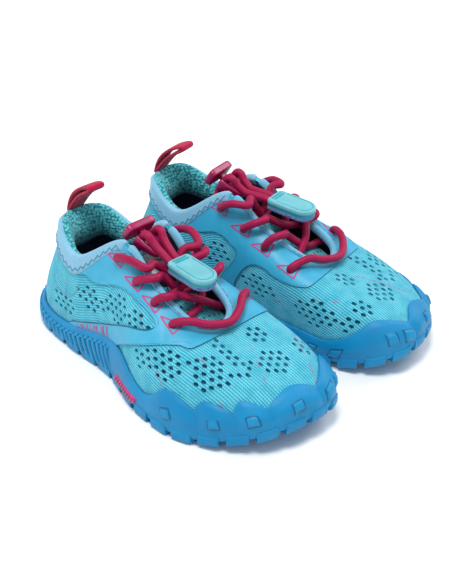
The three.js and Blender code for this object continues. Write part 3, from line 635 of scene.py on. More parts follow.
@dataclass(frozen=True)
class Fleece:
    """Brushed loop fabric: a dull nap whose fibres catch the light at grazing angles."""

    name: str
    pile: str
    shade: str
    pile_mm: float = 0.9

    def make(self) -> bpy.types.Material:
        """Builds the material.

        Returns:
            The material.
        """
        graph = Graph(self.name)
        add = graph.add
        fibre = add("TexNoise", add("TexCoord", out="Object"), 0, 1 / (self.pile_mm * MM), 6, 0.75)
        tip = add("MapRange", fibre, 0.35, 0.68, interpolation_type=SMOOTH)
        naps = {6: linear(self.shade), 7: linear(self.pile)}
        graph.dress(
            Base_Color=add("Mix", tip, more=naps, out=2, data_type="RGBA"),
            Roughness=0.95,
            Normal=add("Bump", 0.9, 0.7 * MM, more={"Height": fibre}),
        )
        graph.shader.inputs["Sheen Weight"].default_value = 0.45
        graph.shader.inputs["Specular IOR Level"].default_value = 0.15
        return graph.material


@dataclass(frozen=True)
class StripedLabel:
    """Woven satin label: a fine even weave with one darker stripe across it."""

    name: str
    ground: str
    shade: str
    stripe: str
    stripe_from_mm: float
    stripe_to_mm: float

    def make(self) -> bpy.types.Material:
        """Builds the material.

        Returns:
            The material.
        """
        graph = Graph(self.name)
        add = graph.add
        along = add("Attribute", out="Fac", attribute_name="run_mm")
        after = add("Math", along, self.stripe_from_mm, operation="GREATER_THAN")
        before = add("Math", along, self.stripe_to_mm, operation="LESS_THAN")
        stripe = add("Math", after, before, operation="MULTIPLY")
        faded = add("TexNoise", add("TexCoord", out="Object"), 0, 1 / (1.5 * MM), 3)
        faded = add("Math", faded, 0.3, operation="MULTIPLY")
        face = linear(self.ground)
        for share, tint in ((faded, self.shade), (stripe, self.stripe)):
            face = add("Mix", share, more={6: face, 7: linear(tint)}, out=2, data_type="RGBA")
        weave = add("Math", along, 0.3, operation="PINGPONG")
        weave = add("MapRange", weave, 0, 0.3, interpolation_type=SMOOTH)
        relief = add("Bump", 0.7, 0.08 * MM, more={"Height": weave})
        graph.dress(Base_Color=face, Roughness=0.7, Normal=relief)
        return graph.material


class Finish(Enum):
    """The finishes of the pair."""

    # The rubbers' last two colours are painted shade in grooves and painted highlight on raised faces.
    SOLE = MouldedRubber("sole_moulded_rubber", "#007fb4", "#0388bd", "#004a76", "#1fa0d0", 0.5)
    BADGE = MouldedRubber("badge_soft_rubber", "#c2165f", "#d02a70", "#5c0a30", "#e04a88", 0.45)
    KNIT = RibbedKnit("upper_flat_knit", "#68d2e8", "#4fc0da", "#167890", "#b84a86")
    TONGUE = RibbedKnit("tongue_flat_knit", "#62c4d2", "#4fb3c4", "#17677f", "#5aa9bb", 1.5, 1.2)
    FILM = Moulded("overlay_fused_film", "#37a8cc", "#2f9fc5", 0.42, 0.03)
    # A dark fine line along the film's outline; the badge's bars use it too.
    OUTLINE = Moulded("dark_teal_line", "#14607f", "#0f5371", 0.6, 0.02)
    PRINT = Moulded("pink_print_ink", "#bb3f82", "#a93474", 0.55, 0.02)
    # The tapes' second colours: painted shade in the rib valleys, and random fading.
    BINDING = WovenTape("collar_stretch_binding", "#8fc3dc", "#6fa9c9", 1.0, 0.2)
    TAPE = WovenTape("flap_edge_tape", "#7dbfdd", "#5fa5c8", 0.7, 0.12)
    THREAD = WovenTape("blue_sewing_thread", "#4d93b3", "#35789a", 0.5, 0.08)
    PALE_THREAD = WovenTape("pale_sewing_thread", "#5aa9bd", "#3d8fa6", 0.5, 0.08)
    PADDING = SpacerMesh("collar_spacer_mesh", "#62d3da", "#127387", 1.5, 0.5)
    SOCK = SpacerMesh("inner_sock_jersey", "#13284f", "#081428", 0.9, 0.15)
    BACKING = SpacerMesh("knit_backing_jersey", "#2a8fa6", "#124f63", 0.8, 0.1)
    INSOLE = SpacerMesh("insole_foam", "#16305c", "#0b1c3c", 1.2, 0.1)
    BOARD = Fleece("strobel_nonwoven", "#d9d4c4", "#bdb7a6")
    CORD = BraidedCord("elastic_braided_cord", "#ad034b", "#680230")
    LOCK = Moulded("lock_moulded_acetal", "#9e0650", "#920447", 0.3)
    # Second colour: painted shade in the rib valleys, and random fading.
    WEBBING = WovenTape("pull_loop_webbing", "#c20d48", "#7c062c", 1.15, 0.35)
    LABEL = StripedLabel("tongue_woven_label", "#c3d8df", "#6f8f9c", "#2f9fae", 73.2, 75.2)
    TAB = Moulded("tab_cast_silicone", "#6fb9c4", "#66adb9", 0.5, 0.05)
    TAB_EDGE = Moulded("tab_core_edge", "#2aa3b6", "#2295a8", 0.55, 0.04)
    FLEECE = Fleece("tab_brushed_loop", "#7f93c4", "#3c5a94")
    STEEL = Moulded("spring_steel_wire", "#b9bdc1", "#a9adb2", 0.3, 0.02, 1.0)

    def get(self) -> bpy.types.Material:
        """The finish's material, built on first use."""
        return bpy.data.materials.get(self.value.name) or self.value.make()


# ---- The last and its places ----------------------------------------------------------------


class Side(Enum):
    """Which shoe of the pair."""

    RIGHT = "right"
    LEFT = "left"


@dataclass(frozen=True)
class Place:
    """Where a shoe stands in the row frame, and how drawing points get there."""

    side: Side
    origin_mm: tuple[float, float]
    toe_out_deg: float = 5.9

    def to_row(self, points: Array) -> Array:
        """Drawing points in mm as points of the row frame in metres.

        Args:
            points: one or more points.

        Returns:
            The points, in the same arrangement.
        """
        points = np.asarray(points, float)
        mirrored = self.side is Side.LEFT
        turn = math.radians(self.toe_out_deg if mirrored else -self.toe_out_deg)
        x, y = points[..., 0], points[..., 1] * (-1 if mirrored else 1)
        return MM * np.stack(
            [
                x * math.cos(turn) - y * math.sin(turn) + self.origin_mm[0],
                x * math.sin(turn) + y * math.cos(turn) + self.origin_mm[1],
                points[..., 2],
            ],
            axis=-1,
        )


@dataclass
class Last:
    """The foot form that every layer of the upper and the sole follows.

    A place on its skin is u, the station round the shoe from the middle of the heel along the
    little-toe side (0 to 14), and v, from 0 at the sole to 1 at the opening.
    """

    feather: float = 6.0
    toe_spring: float = 9.0
    spring_start: float = 128.0
    slab_bottom: float = 2.5
    # Per station: foot x, y; top x, y, z; then the out and up handles at the foot and at the top.
    stations: Array = field(default_factory=lambda: np.array([
        (0, 0, 14, 0, 57, 2, 20, -5, -18), (12, -19, 22, -14.5, 58, 3, 20, 2, -17),
        (41, -25, 42, -21, 50, 3, 16, 2, -14), (74, -27, 68, -12, 65, 4, 20, 9, -17),
        (107, -37, 88, -12, 54, 4, 20, 15, -8), (138, -37, 104, -13, 46, 4, 16, 17, -5),
        (166, -20, 117, -10, 40, 4, 14, 20, -5), (175, 5, 122, 0, 38, 4, 14, 24, -6),
        (170, 23, 117, 10, 40, 4, 18, 20, -4), (148, 32, 104, 13, 46, 4, 18, 16, -5),
        (112, 28, 88, 13, 54, 3, 20, 13, -8), (74, 23, 69, 14, 66, 2, 20, 9, -16),
        (41, 23, 42, 20, 50, 2, 16, 2, -14), (12, 18, 22, 14, 58, 3, 20, 2, -17),
    ], float))
    # Upper edge of the rubber: station, height, and 1 where it is a fold between two toe lobes.
    rim: Rows = (
        (0, 15.5, 0), (1.5, 12, 0), (3.4, 22, 0), (4.15, 13.6, 0), (4.9, 22, 0), (5.25, 17.5, 1),
        (5.5, 22, 0), (5.75, 19.3, 1), (6, 24, 0), (6.25, 21.5, 1), (6.8, 26, 0), (7.25, 23.5, 1),
        (7.95, 27, 0), (9.4, 13.2, 0), (10.5, 12.8, 0), (11.25, 17, 0), (12.4, 12.5, 0), (14, 15.5, 0),
    )

    def blend(self, u: Array) -> Array:
        """The stations' numbers at u, by a closed Catmull-Rom blend.

        Args:
            u: stations.

        Returns:
            Nine numbers for each, in the order of the table of stations.
        """
        around = len(self.stations)
        turn = np.mod(u, around)
        base = np.floor(turn).astype(int)
        t = (turn - base)[..., None]
        a, b, c, d = [self.stations[(base + k) % around] for k in (-1, 0, 1, 2)]
        return between(a, b, c, d, t)

    def lift(self, x: Array) -> Array:
        """How far the toe spring lifts the sole at x."""
        return self.toe_spring * np.maximum(0, (x - self.spring_start) / 47) ** 2

    def outward(self, u: Array) -> Array:
        """Level direction out of the shoe, as (x, y, 0).

        Args:
            u: stations.

        Returns:
            A unit vector for each.
        """
        foot = self.blend(np.asarray(u, float))[..., :2]
        middle = np.stack([np.clip(foot[..., 0], 30, 140), np.zeros(foot.shape[:-1])], axis=-1)
        flat = unit(foot - middle)
        return np.concatenate([flat, np.zeros(flat.shape[:-1] + (1,))], axis=-1)

    def skin(self, u: Array, v: Array | float) -> Array:
        """Points on the outside of the knitted upper.

        Args:
            u: stations.
            v: heights on the skin.

        Returns:
            The points in mm.
        """
        u, v = np.broadcast_arrays(np.asarray(u, float), np.asarray(v, float))
        row, out = self.blend(u), self.outward(u)
        start = np.stack([row[..., 0], row[..., 1], self.feather + self.lift(row[..., 0])], axis=-1)
        top = row[..., 2:5]
        up = np.array([0.0, 0.0, 1.0])
        low = start + out * row[..., 5:6] + up * row[..., 6:7]
        high = top + out * row[..., 7:8] + up * row[..., 8:9]
        t = v[..., None]
        s = 1 - t
        return start * s**3 + 3 * low * s * s * t + 3 * high * s * t * t + top * t**3

    def tangents(self, u: Array, v: Array | float) -> tuple[Array, Array]:
        """Directions round the shoe and up its skin, not scaled.

        Args:
            u: stations.
            v: heights on the skin.

        Returns:
            The two directions at each place.
        """
        step = 0.004
        u, v = np.broadcast_arrays(np.asarray(u, float), np.asarray(v, float))
        low, high = np.maximum(v - step, 0), np.minimum(v + step, 1)
        round_it = (self.skin(u + step, v) - self.skin(u - step, v)) / (2 * step)
        up_it = (self.skin(u, high) - self.skin(u, low)) / (high - low)[..., None]
        return round_it, up_it

    def normal(self, u: Array, v: Array | float) -> Array:
        """Outward normal of the skin."""
        round_it, up_it = self.tangents(u, v)
        return unit(np.cross(round_it, up_it))

    def off(self, u: Array, v: Array, distance: Array | float) -> Array:
        """Points that stand off the skin, outwards if positive."""
        distance = np.asarray(distance, float)
        return self.skin(u, v) + self.normal(u, v) * distance[..., None]

    def below_edge(self, u: Array, distance: Array | float) -> Array:
        """The v that lies a distance below the edge of the opening.

        Args:
            u: stations.
            distance: how far below, in mm.

        Returns:
            The heights on the skin.
        """
        u, distance = np.broadcast_arrays(np.asarray(u, float), np.asarray(distance, float))
        low, high = np.full(u.shape, 0.3), np.ones(u.shape)
        edge = self.skin(u, 1.0)
        for _ in range(22):
            middle = (low + high) / 2
            far = np.linalg.norm(self.skin(u, middle) - edge, axis=-1) > distance
            low, high = np.where(far, middle, low), np.where(far, high, middle)
        return (low + high) / 2

    def rim_height(self, u: Array) -> Array:
        """Height of the rubber's upper edge.

        Args:
            u: stations.

        Returns:
            Heights over the sprung ground, in mm.
        """
        turn = np.mod(np.asarray(u, float), len(self.stations))
        at = np.array([r[0] for r in self.rim])
        k = np.clip(np.searchsorted(at, turn, side="left"), 1, len(at) - 1)
        z, fold = np.array([r[1] for r in self.rim]), np.array([r[2] for r in self.rim])
        t = (turn - at[k - 1]) / (at[k] - at[k - 1])
        share = np.where(
            fold[k - 1] == 1, np.sin(t * np.pi / 2),
            np.where(fold[k] == 1, 1 - np.cos(t * np.pi / 2), t * t * (3 - 2 * t)),
        )
        return z[k - 1] + (z[k] - z[k - 1]) * share

    def rim_v(self, u: Array) -> Array:
        """The v at which the skin passes the rubber's rim.

        Args:
            u: stations.

        Returns:
            The heights on the skin.
        """
        u = np.asarray(u, float)
        low, high, height = np.zeros(u.shape), np.full(u.shape, 0.9), self.rim_height(u)
        for _ in range(22):
            middle = (low + high) / 2
            below = self.skin(u, middle)[..., 2] < height
            low, high = np.where(below, middle, low), np.where(below, high, middle)
        return (low + high) / 2

    def nearest(self, target: Array, u: Array, v: Array) -> tuple[Array, Array]:
        """Places on the skin nearest to points, from a first guess.

        Args:
            target: the points.
            u: first guess of the stations.
            v: first guess of the heights.

        Returns:
            Stations and heights on the skin.
        """
        u = np.broadcast_to(np.asarray(u, float), target.shape[:-1]).copy()
        v = np.broadcast_to(np.asarray(v, float), target.shape[:-1]).copy()
        for _ in range(8):
            du, dv = self.tangents(u, v)
            miss = target - self.skin(u, v)
            aa, bb, ab = (du * du).sum(-1), (dv * dv).sum(-1), (du * dv).sum(-1)
            ma, mb = (du * miss).sum(-1), (dv * miss).sum(-1)
            det = np.maximum(aa * bb - ab * ab, 1e-6)
            u += np.clip((ma * bb - mb * ab) / det, -0.5, 0.5)
            v += np.clip((mb * aa - ma * ab) / det, -0.15, 0.15)
            v = np.clip(v, 0.001, 0.999)
        return u, v

    def walk(self, u: float, v: float, steps_mm: Array) -> tuple[Array, Array]:
        """Places reached from one place by steps in mm towards the toes and up the skin.

        Args:
            u: the station to start from.
            v: the height to start from.
            steps_mm: rows of (ahead, up).

        Returns:
            Stations and heights on the skin.
        """
        round_it, up_it = self.tangents(u, v)
        normal = unit(np.cross(round_it, up_it))
        ahead = np.array([1.0, 0.0, 0.0])
        ahead = unit(ahead - normal * (ahead @ normal))
        rise = np.cross(normal, ahead)
        rise = rise if rise @ up_it > 0 else -rise
        steps_mm = np.asarray(steps_mm, float)
        target = self.skin(u, v) + steps_mm[..., :1] * ahead + steps_mm[..., 1:2] * rise
        return self.nearest(target, u, v)

    def from_side(self, x: Array, z: Array, lateral: bool) -> tuple[Array, Array]:
        """Places on one side of the skin that a side view shows at x and z.

        Args:
            x: distances from the heel.
            z: heights over the ground.
            lateral: whether it is the little-toe side.

        Returns:
            Stations and heights on the skin.
        """
        us = np.linspace(0.4, 6.9, 120) if lateral else np.linspace(7.1, 13.6, 120)
        vs = np.linspace(0.01, 0.99, 60)
        uu, vv = np.meshgrid(us, vs, indexing="ij")
        seen = self.skin(uu, vv)
        gap = (seen[..., 0][None] - x[:, None, None]) ** 2 + (seen[..., 2][None] - z[:, None, None]) ** 2
        best = gap.reshape(len(x), -1).argmin(1)
        u, v = uu.reshape(-1)[best].copy(), vv.reshape(-1)[best].copy()
        for _ in range(6):
            du, dv = self.tangents(u, v)
            at = self.skin(u, v)
            mx, mz = x - at[:, 0], z - at[:, 2]
            det = du[:, 0] * dv[:, 2] - du[:, 2] * dv[:, 0]
            det = np.where(np.abs(det) < 1e-3, 1e-3, det)
            u += np.clip((mx * dv[:, 2] - mz * dv[:, 0]) / det, -0.2, 0.2)
            v += np.clip((mz * du[:, 0] - mx * du[:, 2]) / det, -0.06, 0.06)
            v = np.clip(v, 0.0, 1.0)
        return u, v

    def edge_station(self, lateral: bool, x: float) -> float:
        """Station on the throat's edge at x."""
        us = np.linspace(3, 7, 400) if lateral else np.linspace(11, 7, 400)
        return float(np.interp(x, self.skin(us, 1.0)[:, 0], us))


LAST = Last()
PLACES = (Place(Side.RIGHT, (-88.46, -29.05)), Place(Side.LEFT, (-86.46, 29.05)))


# ---- From shells to pieces ------------------------------------------------------------------


def bevel(obj: bpy.types.Object, width_mm: float, segments: int = 3, angle: float = 35) -> None:
    """Rounds an object's sharp edges by a width, where its faces meet at more than an angle.

    Args:
        obj: the piece.
        width_mm: width of the rounding.
        segments: faces across it.
        angle: least turn of an edge, in degrees.
    """
    rounding = obj.modifiers.new("rounded_edges", "BEVEL")
    rounding.width = width_mm * MM
    rounding.segments = segments
    rounding.limit_method = "ANGLE"
    rounding.angle_limit = math.radians(angle)


@dataclass
class Bench:
    """Turns shells into pieces of one shoe."""

    place: Place

    def mesh(self, name: str, shell: Shell) -> bpy.types.Object:
        """An object of a shell, in the row frame, with its normals turned outwards.

        Args:
            name: its full name.
            shell: its shape.

        Returns:
            The object.
        """
        mesh = bpy.data.meshes.new(name)
        mesh.from_pydata(self.place.to_row(shell.points).tolist(), [], shell.faces)
        work = bmesh.new()
        work.from_mesh(mesh)
        bmesh.ops.recalc_face_normals(work, faces=work.faces)
        work.to_mesh(mesh)
        work.free()
        for label, numbers in shell.values.items():
            layer = mesh.attributes.new(label, "FLOAT", "POINT")
            layer.data.foreach_set("value", np.asarray(numbers, np.float32))
        obj = bpy.data.objects.new(name, mesh)
        bpy.context.scene.collection.objects.link(obj)
        return obj

    def piece(
        self,
        name: str,
        shell: Shell | bpy.types.Object,
        finish: Finish,
        body: str,
        replaces: tuple[str, ...] = (),
        slot: str | None = None,
        sharp_deg: float = 50,
    ) -> bpy.types.Object:
        """Makes a finished piece.

        Args:
            name: its name without the side.
            shell: its shape, or an object that already has it.
            finish: its material.
            body: the moving part it rides on, "shoes" for a fixed one, or "" for one left unattached.
            replaces: the frame's nodes that it stands for, without the side.
            slot: the record's material slot for the piece; not used.
            sharp_deg: edges that turn more than this stay crisp.

        Returns:
            The piece.
        """
        side = self.place.side.value
        obj = shell if isinstance(shell, bpy.types.Object) else self.mesh(f"{side}_{name}", shell)
        obj.name = f"{side}_{name}"
        obj.data.materials.clear()
        obj.data.materials.append(finish.get())
        obj.data.shade_smooth()
        obj.data.set_sharp_from_angle(angle=math.radians(sharp_deg))
        if body:
            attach(obj, body if body == "shoes" else f"{side}_{body}")
        if replaces:
            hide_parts(*(f"{side}_{node}" for node in replaces))
        LOG.info("%s: %d faces", obj.name, len(obj.data.polygons))
        return obj

    def cut(self, body: Shell, tools: Shell, operation: str = "DIFFERENCE") -> Shell:
        """A shell less the tools, or the part of it inside them, with its values carried over.

        Args:
            body: the shell to cut.
            tools: closed shells.
            operation: DIFFERENCE or INTERSECT.

        Returns:
            What is left.
        """
        first, second = self.mesh("blank", body), self.mesh("cutters", tools)
        cutter = first.modifiers.new("cut", "BOOLEAN")
        cutter.operation = operation
        cutter.solver = "MANIFOLD"
        cutter.object = second
        graph = bpy.context.evaluated_depsgraph_get()
        made = bpy.data.meshes.new_from_object(first.evaluated_get(graph))
        row = np.array([v.co for v in made.vertices], float).reshape(-1, 3)
        faces = [tuple(p.vertices) for p in made.polygons]
        tree = KDTree(len(body.points))
        for k, point in enumerate(self.place.to_row(body.points)):
            tree.insert(point, k)
        tree.balance()
        near = [tree.find_n(point, 3) for point in row]
        share = np.array([[1 / (hit[2] + 1e-7) for hit in hits] for hits in near])
        share /= share.sum(1, keepdims=True)
        which = np.array([[hit[1] for hit in hits] for hits in near])
        values = {name: (numbers[which] * share).sum(1) for name, numbers in body.values.items()}
        for obj in (first, second):
            bpy.data.objects.remove(obj)
        return Shell(self.to_drawing(row), faces, values)

    def to_drawing(self, points: Array) -> Array:
        """Points of the row frame in metres back in the drawing frame in mm.

        Args:
            points: one point per row.

        Returns:
            The points, one per row.
        """
        mirrored = self.place.side is Side.LEFT
        turn = math.radians(self.place.toe_out_deg if mirrored else -self.place.toe_out_deg)
        x = points[:, 0] / MM - self.place.origin_mm[0]
        y = points[:, 1] / MM - self.place.origin_mm[1]
        flip = -1 if mirrored else 1
        return np.stack(
            [
                x * math.cos(turn) + y * math.sin(turn),
                flip * (y * math.cos(turn) - x * math.sin(turn)),
                points[:, 2] / MM,
            ],
            axis=1,
        )


def rod_between(points: Array, normals: Array, radii: tuple[float, float], depth: tuple[float, float],
                sides: int = 8) -> Shell:
    """Short oval plugs through the skin, used as cutters.

    Args:
        points: their middles.
        normals: their directions.
        radii: half sizes along the shoe and across it.
        depth: how far they reach out and in.
        sides: corners of each.

    Returns:
        All plugs as one shell.
    """
    angle = 2 * np.pi * (np.arange(sides) + 0.5) / sides
    plugs = []
    for point, normal in zip(points, normals):
        ahead = unit(np.array([1.0, 0, 0]) - normal * normal[0])
        rise = np.cross(normal, ahead)
        ring = ahead * (radii[0] * np.cos(angle))[:, None] + rise * (radii[1] * np.sin(angle))[:, None]
        plugs.append(grid_shell(np.stack([point + ring + normal * d for d in (-depth[1], depth[0])])))
    return join_all(plugs)


# ---- Sole -----------------------------------------------------------------------------------


@dataclass
class Outsole:
    """Moulded rubber sole with a wall that rises in lobes round the toes."""

    bench: Bench
    base: float = 3.2
    rim: float = 1.5
    rib_pitch: float = 4.3
    rib_height: float = 1.0
    pad_height: float = 0.85
    pad_grain: float = 0.22
    fold_depth: float = 1.3
    folds: tuple[float, ...] = (5.25, 5.75, 6.25, 7.25)
    # Raised pads on the toe lobes: station, share of the wall's height, width and height in mm.
    toe_pads: Rows = (
        (4.75, 0.5, 5.6, 5.0), (5.47, 0.48, 5.2, 4.6), (5.98, 0.5, 5.2, 4.6), (6.68, 0.5, 5.4, 5.0),
        (7.5, 0.5, 5.4, 6.0), (7.93, 0.5, 4.6, 6.0),
    )
    arch_pads: Rows = ((9.05, 0.5, 6.5, 4.0), (9.45, 0.5, 5.0, 4.2), (9.95, 0.5, 4.0, 4.2))
    lug_length: float = 10.2
    lug_gap: float = 3.4
    wall_step: float = 0.45
    wall_rows: int = 62
    badge_middle: float = 6.5
    badge_slant: float = 0.02
    badge_bars: int = 9

    def level(self, u: Array, off: float | Array, height: float) -> Array:
        """A point beside the feather line, at a height over the sprung ground.

        Args:
            u: stations.
            off: how far outside the line.
            height: height in mm.

        Returns:
            The points in mm.
        """
        foot, out = LAST.blend(u)[..., :2], LAST.outward(u)[..., :2]
        flat = foot + out * np.broadcast_to(np.asarray(off, float), foot.shape[:-1])[..., None]
        return np.concatenate([flat, (height + LAST.lift(flat[..., 0]))[..., None]], axis=-1)

    def crease(self, u: Array) -> Array:
        """Depth of the folds between toe lobes at a station.

        Args:
            u: stations.

        Returns:
            The depths in mm.
        """
        total = np.zeros(u.shape)
        for fold in self.folds:
            total += self.fold_depth * np.maximum(0, 1 - np.abs(u - fold) / 0.2) ** 1.5
        return total

    def wall_off(self, u: Array, share: Array) -> Array:
        """Distance of the wall's face from the skin, part of the way up."""
        return self.base + (self.rim - self.base) * share**1.6 - self.crease(u)

    def stations(self, spacing: float) -> tuple[Array, Array]:
        """Stations evenly spaced along the outline, and their distances from the heel.

        Args:
            spacing: distance between them in mm.

        Returns:
            The stations, and the distances.
        """
        fine = np.linspace(0, 14, 4001)
        line = self.level(fine, self.base, 0.0)[:, :2]
        length = walked(line)
        count = int(length[-1] / spacing)
        at = np.linspace(0, length[-1], count, endpoint=False)
        return np.interp(at, length, fine), at

    def distance(self, u: float) -> float:
        """Distance from the heel along the outline to a station."""
        us, at = self.stations(0.5)
        return float(np.interp(u, us, at))

    def relief(self, u: Array, along: Array, rise: Array, height: Array) -> tuple[Array, Array]:
        """How far the ribs and pads stand off the wall.

        Args:
            u: stations, as a column.
            along: distance from the heel, as a column.
            rise: distance up the wall at each point.
            height: the wall's full height, as a column.

        Returns:
            The height of the relief at each point, and its tone of painted shade and highlight, from -1 in a
            groove to 1 on top.
        """
        slanted = along + 0.3 * rise
        bar = smoothstep(ping_pong(slanted, self.rib_pitch / 2), 0.75, 1.15)
        rows = smoothstep(rise, 1.0, 1.6) * (1 - smoothstep(rise - height, -4.4, -3.6))
        foot = smoothstep(ping_pong(slanted + 1.6, self.rib_pitch / 2), 0.5, 0.9)
        foot *= smoothstep(rise - height, -4.4, -3.9) * (1 - smoothstep(rise - height, -3.1, -2.6))
        waist = smoothstep(u, 0.25, 0.4) * (1 - smoothstep(u, 3.0, 3.2))
        waist += smoothstep(u, 10.7, 10.9) * (1 - smoothstep(u, 13.6, 13.8))
        ribs = waist * np.maximum(bar * rows, foot)
        total = self.rib_height * ribs
        band = smoothstep(rise, 1.0, 1.6) * (1 - smoothstep(rise - height, -3.1, -2.6))
        # Tone for painted highlight on the ribs and painted shade between them.
        tone = waist * band * (1.5 * ribs - 0.75)
        for pads, slant in ((self.toe_pads, 0.0), (self.arch_pads, -0.8)):
            for station, share, width, tall in pads:
                up = rise - share * height
                aside = along - self.distance(station) - slant * up
                taper = 0.1 if slant == 0 else 0.0
                half = width / 2 * (1 - taper * up / tall)
                mask = 1 - smoothstep(np.abs(aside), half - 0.6, half)
                mask = mask * (1 - smoothstep(np.abs(up), tall / 2 - 0.7, tall / 2))
                grain = smoothstep(ping_pong(aside + up * 0.6, 0.9), 0.3, 0.6)
                total = total + mask * (self.pad_height + self.pad_grain * (grain - 0.5))
                # Painted highlight on each pad and a ring of painted shade round it.
                reach = np.maximum(np.abs(aside) - half, np.abs(up) - tall / 2)
                rim = smoothstep(-np.abs(reach - 0.15), -0.5, -0.1)
                tone = tone + mask * (0.35 + 0.4 * grain) - 0.8 * rim
        return total, tone

    def wall(self) -> Shell:
        """The wall and the sole's plate as one closed shell.

        Returns:
            The shell, with its tone of painted shade and highlight as the value raised.
        """
        us, at = self.stations(self.wall_step)
        rim = LAST.rim_v(us)
        fold = self.crease(us)
        keys = np.stack([
            self.level(us, 1.8, LAST.slab_bottom),
            self.level(us, 2.9 - fold / 4, 3.0),
            self.level(us, 3.3 - fold / 2.5, 4.8),
            LAST.off(us, rim * 0.45, self.wall_off(us, 0.45) + 0.25),
            LAST.off(us, rim * 0.8, self.wall_off(us, 0.8) + 0.2),
            LAST.off(us, rim * 0.97, self.rim - fold / 2),
            LAST.off(us, rim * 1.01, self.rim - 0.35 - fold / 2),
            LAST.off(us, rim * 1.01, 0.45 * 1.0),
        ])
        t = np.linspace(0, len(keys) - 1, self.wall_rows)
        k = np.minimum(t.astype(int), len(keys) - 2)
        part = (t - k)[:, None, None]
        padded = np.concatenate([2 * keys[:1] - keys[1:2], keys, 2 * keys[-1:] - keys[-2:-1]])
        a, b, c, d = [padded[k + j] for j in range(4)]
        face = between(a, b, c, d, part).transpose(1, 0, 2)
        rise = np.concatenate(
            [np.zeros((len(us), 1)), np.cumsum(np.linalg.norm(np.diff(face, axis=1), axis=2), axis=1)], axis=1
        )
        top = np.argmax(t > 5.6)
        height = rise[:, top : top + 1]
        round_it = np.roll(face, -1, 0) - np.roll(face, 1, 0)
        normal = unit(np.cross(round_it, np.gradient(face, axis=1)))
        fade = 1 - smoothstep(rise - height, -1.4, -0.6)
        raised, tone = self.relief(us[:, None], at[:, None], rise, height)
        raised = raised * fade
        face = face + normal * raised[..., None]
        spine_x = np.clip(LAST.blend(us)[:, 0], 30, 140)
        rows = [face]
        for low, shares in ((self.level(us, 0.2, 5.6), (0.0, 0.5, 1.0)), (keys[0], (1.0, 0.5))):
            z = 5.6 if shares[0] == 0.0 else LAST.slab_bottom
            for share in shares:
                flat = low[:, :2] * (1 - share) + np.stack([spine_x, np.zeros(len(us))], axis=1) * share
                high = z + LAST.lift(flat[:, 0])
                rows.append(np.concatenate([flat, high[:, None]], axis=1)[:, None])
        whole = np.concatenate(rows, axis=1)
        # The wall's tone of painted shade and highlight, which the material reads.
        painted_tone = np.zeros(whole.shape[:2])
        painted_tone[:, : raised.shape[1]] = tone * fade
        return grid_shell(whole, ring=True, values={"raised": painted_tone})

    def lugs(self) -> Shell:
        """Separate tread blocks: a row round the edge and bars across the middle.

        Returns:
            All blocks as one shell.
        """
        us, at = self.stations(0.5)
        total = at[-1] + 0.5
        count = int(total / (self.lug_length + self.lug_gap))
        pitch = total / count
        blocks = []
        for k in range(count):
            part = np.linspace(0, 1, 9) * (pitch - self.lug_gap) + k * pitch + 2.0
            u = np.interp(part, at, us)
            off = self.base - self.crease(u) / 2.5
            ring = [(-0.2, 5.7), (0.8, 5.0), (0.9, 2.2), (0.4, 0.4), (-0.4, 0.0), (-7.5, 0.0), (-8.0, 3.0)]
            sections = np.stack([self.level(u, off + a, z) for a, z in ring], axis=1)
            blocks.append(grid_shell(sections))
        for x in np.arange(22, 160, 13.5):
            u_side = np.linspace(1.4, 6.2, 200)
            lateral = np.interp(x, LAST.blend(u_side)[:, 0], LAST.blend(u_side)[:, 1]) + 11
            u_side = np.linspace(12.7, 7.9, 200)
            medial = np.interp(x, LAST.blend(u_side)[:, 0], LAST.blend(u_side)[:, 1]) - 11
            ys = np.linspace(lateral, medial, 7)
            bow = 3.0 * (1 - ((ys - ys.mean()) / (np.ptp(ys) / 2)) ** 2)
            sections = []
            for y, b in zip(ys, bow):
                corners = [(x + b, 3.0), (x + b, 0.3), (x + b + 8.5, 0.3), (x + b + 8.5, 3.0)]
                sections.append([(cx, y, z + float(LAST.lift(np.array(cx)))) for cx, z in corners])
            blocks.append(grid_shell(np.array(sections)))
        return join_all(blocks)

    def badge(self) -> tuple[Shell, Shell]:
        """The long side badge as a rounded strip, and the raised bars on it.

        Returns:
            The strip, and the bars.
        """
        us = np.linspace(3.28, 3.98, 40)
        ring = [(4.1, 0.0), (4.0, 0.7), (4.5, 1.15), (6.4, 1.25), (8.3, 1.1), (8.9, 0.7), (9.0, 0.0)]
        ends = np.clip(np.minimum(np.arange(40), np.arange(40)[::-1]) / 3, 0, 1) ** 0.5
        sections = np.stack([
            self.level(us + self.badge_slant * (h - self.badge_middle), self.base + out, h)
            for h, out in ring
        ], axis=1)
        middle = sections.mean(1, keepdims=True)
        strip = grid_shell(middle + (sections - middle) * (0.45 + 0.55 * ends)[:, None, None])
        bars = []
        for k in range(self.badge_bars):
            u = 3.35 + 0.07 * k
            line = np.stack([
                self.level(np.array(u + self.badge_slant * (h - self.badge_middle)), self.base + 1.3, h)
                for h in np.linspace(5.2, 7.8, 6)
            ])
            bars.append(sweep(line, 0.32, sides=6))
        return strip, join_all(bars)

    def make(self) -> None:
        """Builds the sole's pieces."""
        bench = self.bench
        bench.piece("sole_wall", self.wall(), Finish.SOLE, "shoes", ("outsole",), "sole_rubber", 60)
        lugs = bench.piece("tread_lugs", self.lugs(), Finish.SOLE, "shoes", (), "sole_rubber", 30)
        bevel(lugs, 0.45, 2)
        strip, bars = self.badge()
        bench.piece("badge_strip", strip, Finish.BADGE, "shoes", ("side_badge",), "badge", 60)
        bench.piece("badge_bars", bars, Finish.OUTLINE, "shoes", (), "badge")


# ---- Upper ----------------------------------------------------------------------------------


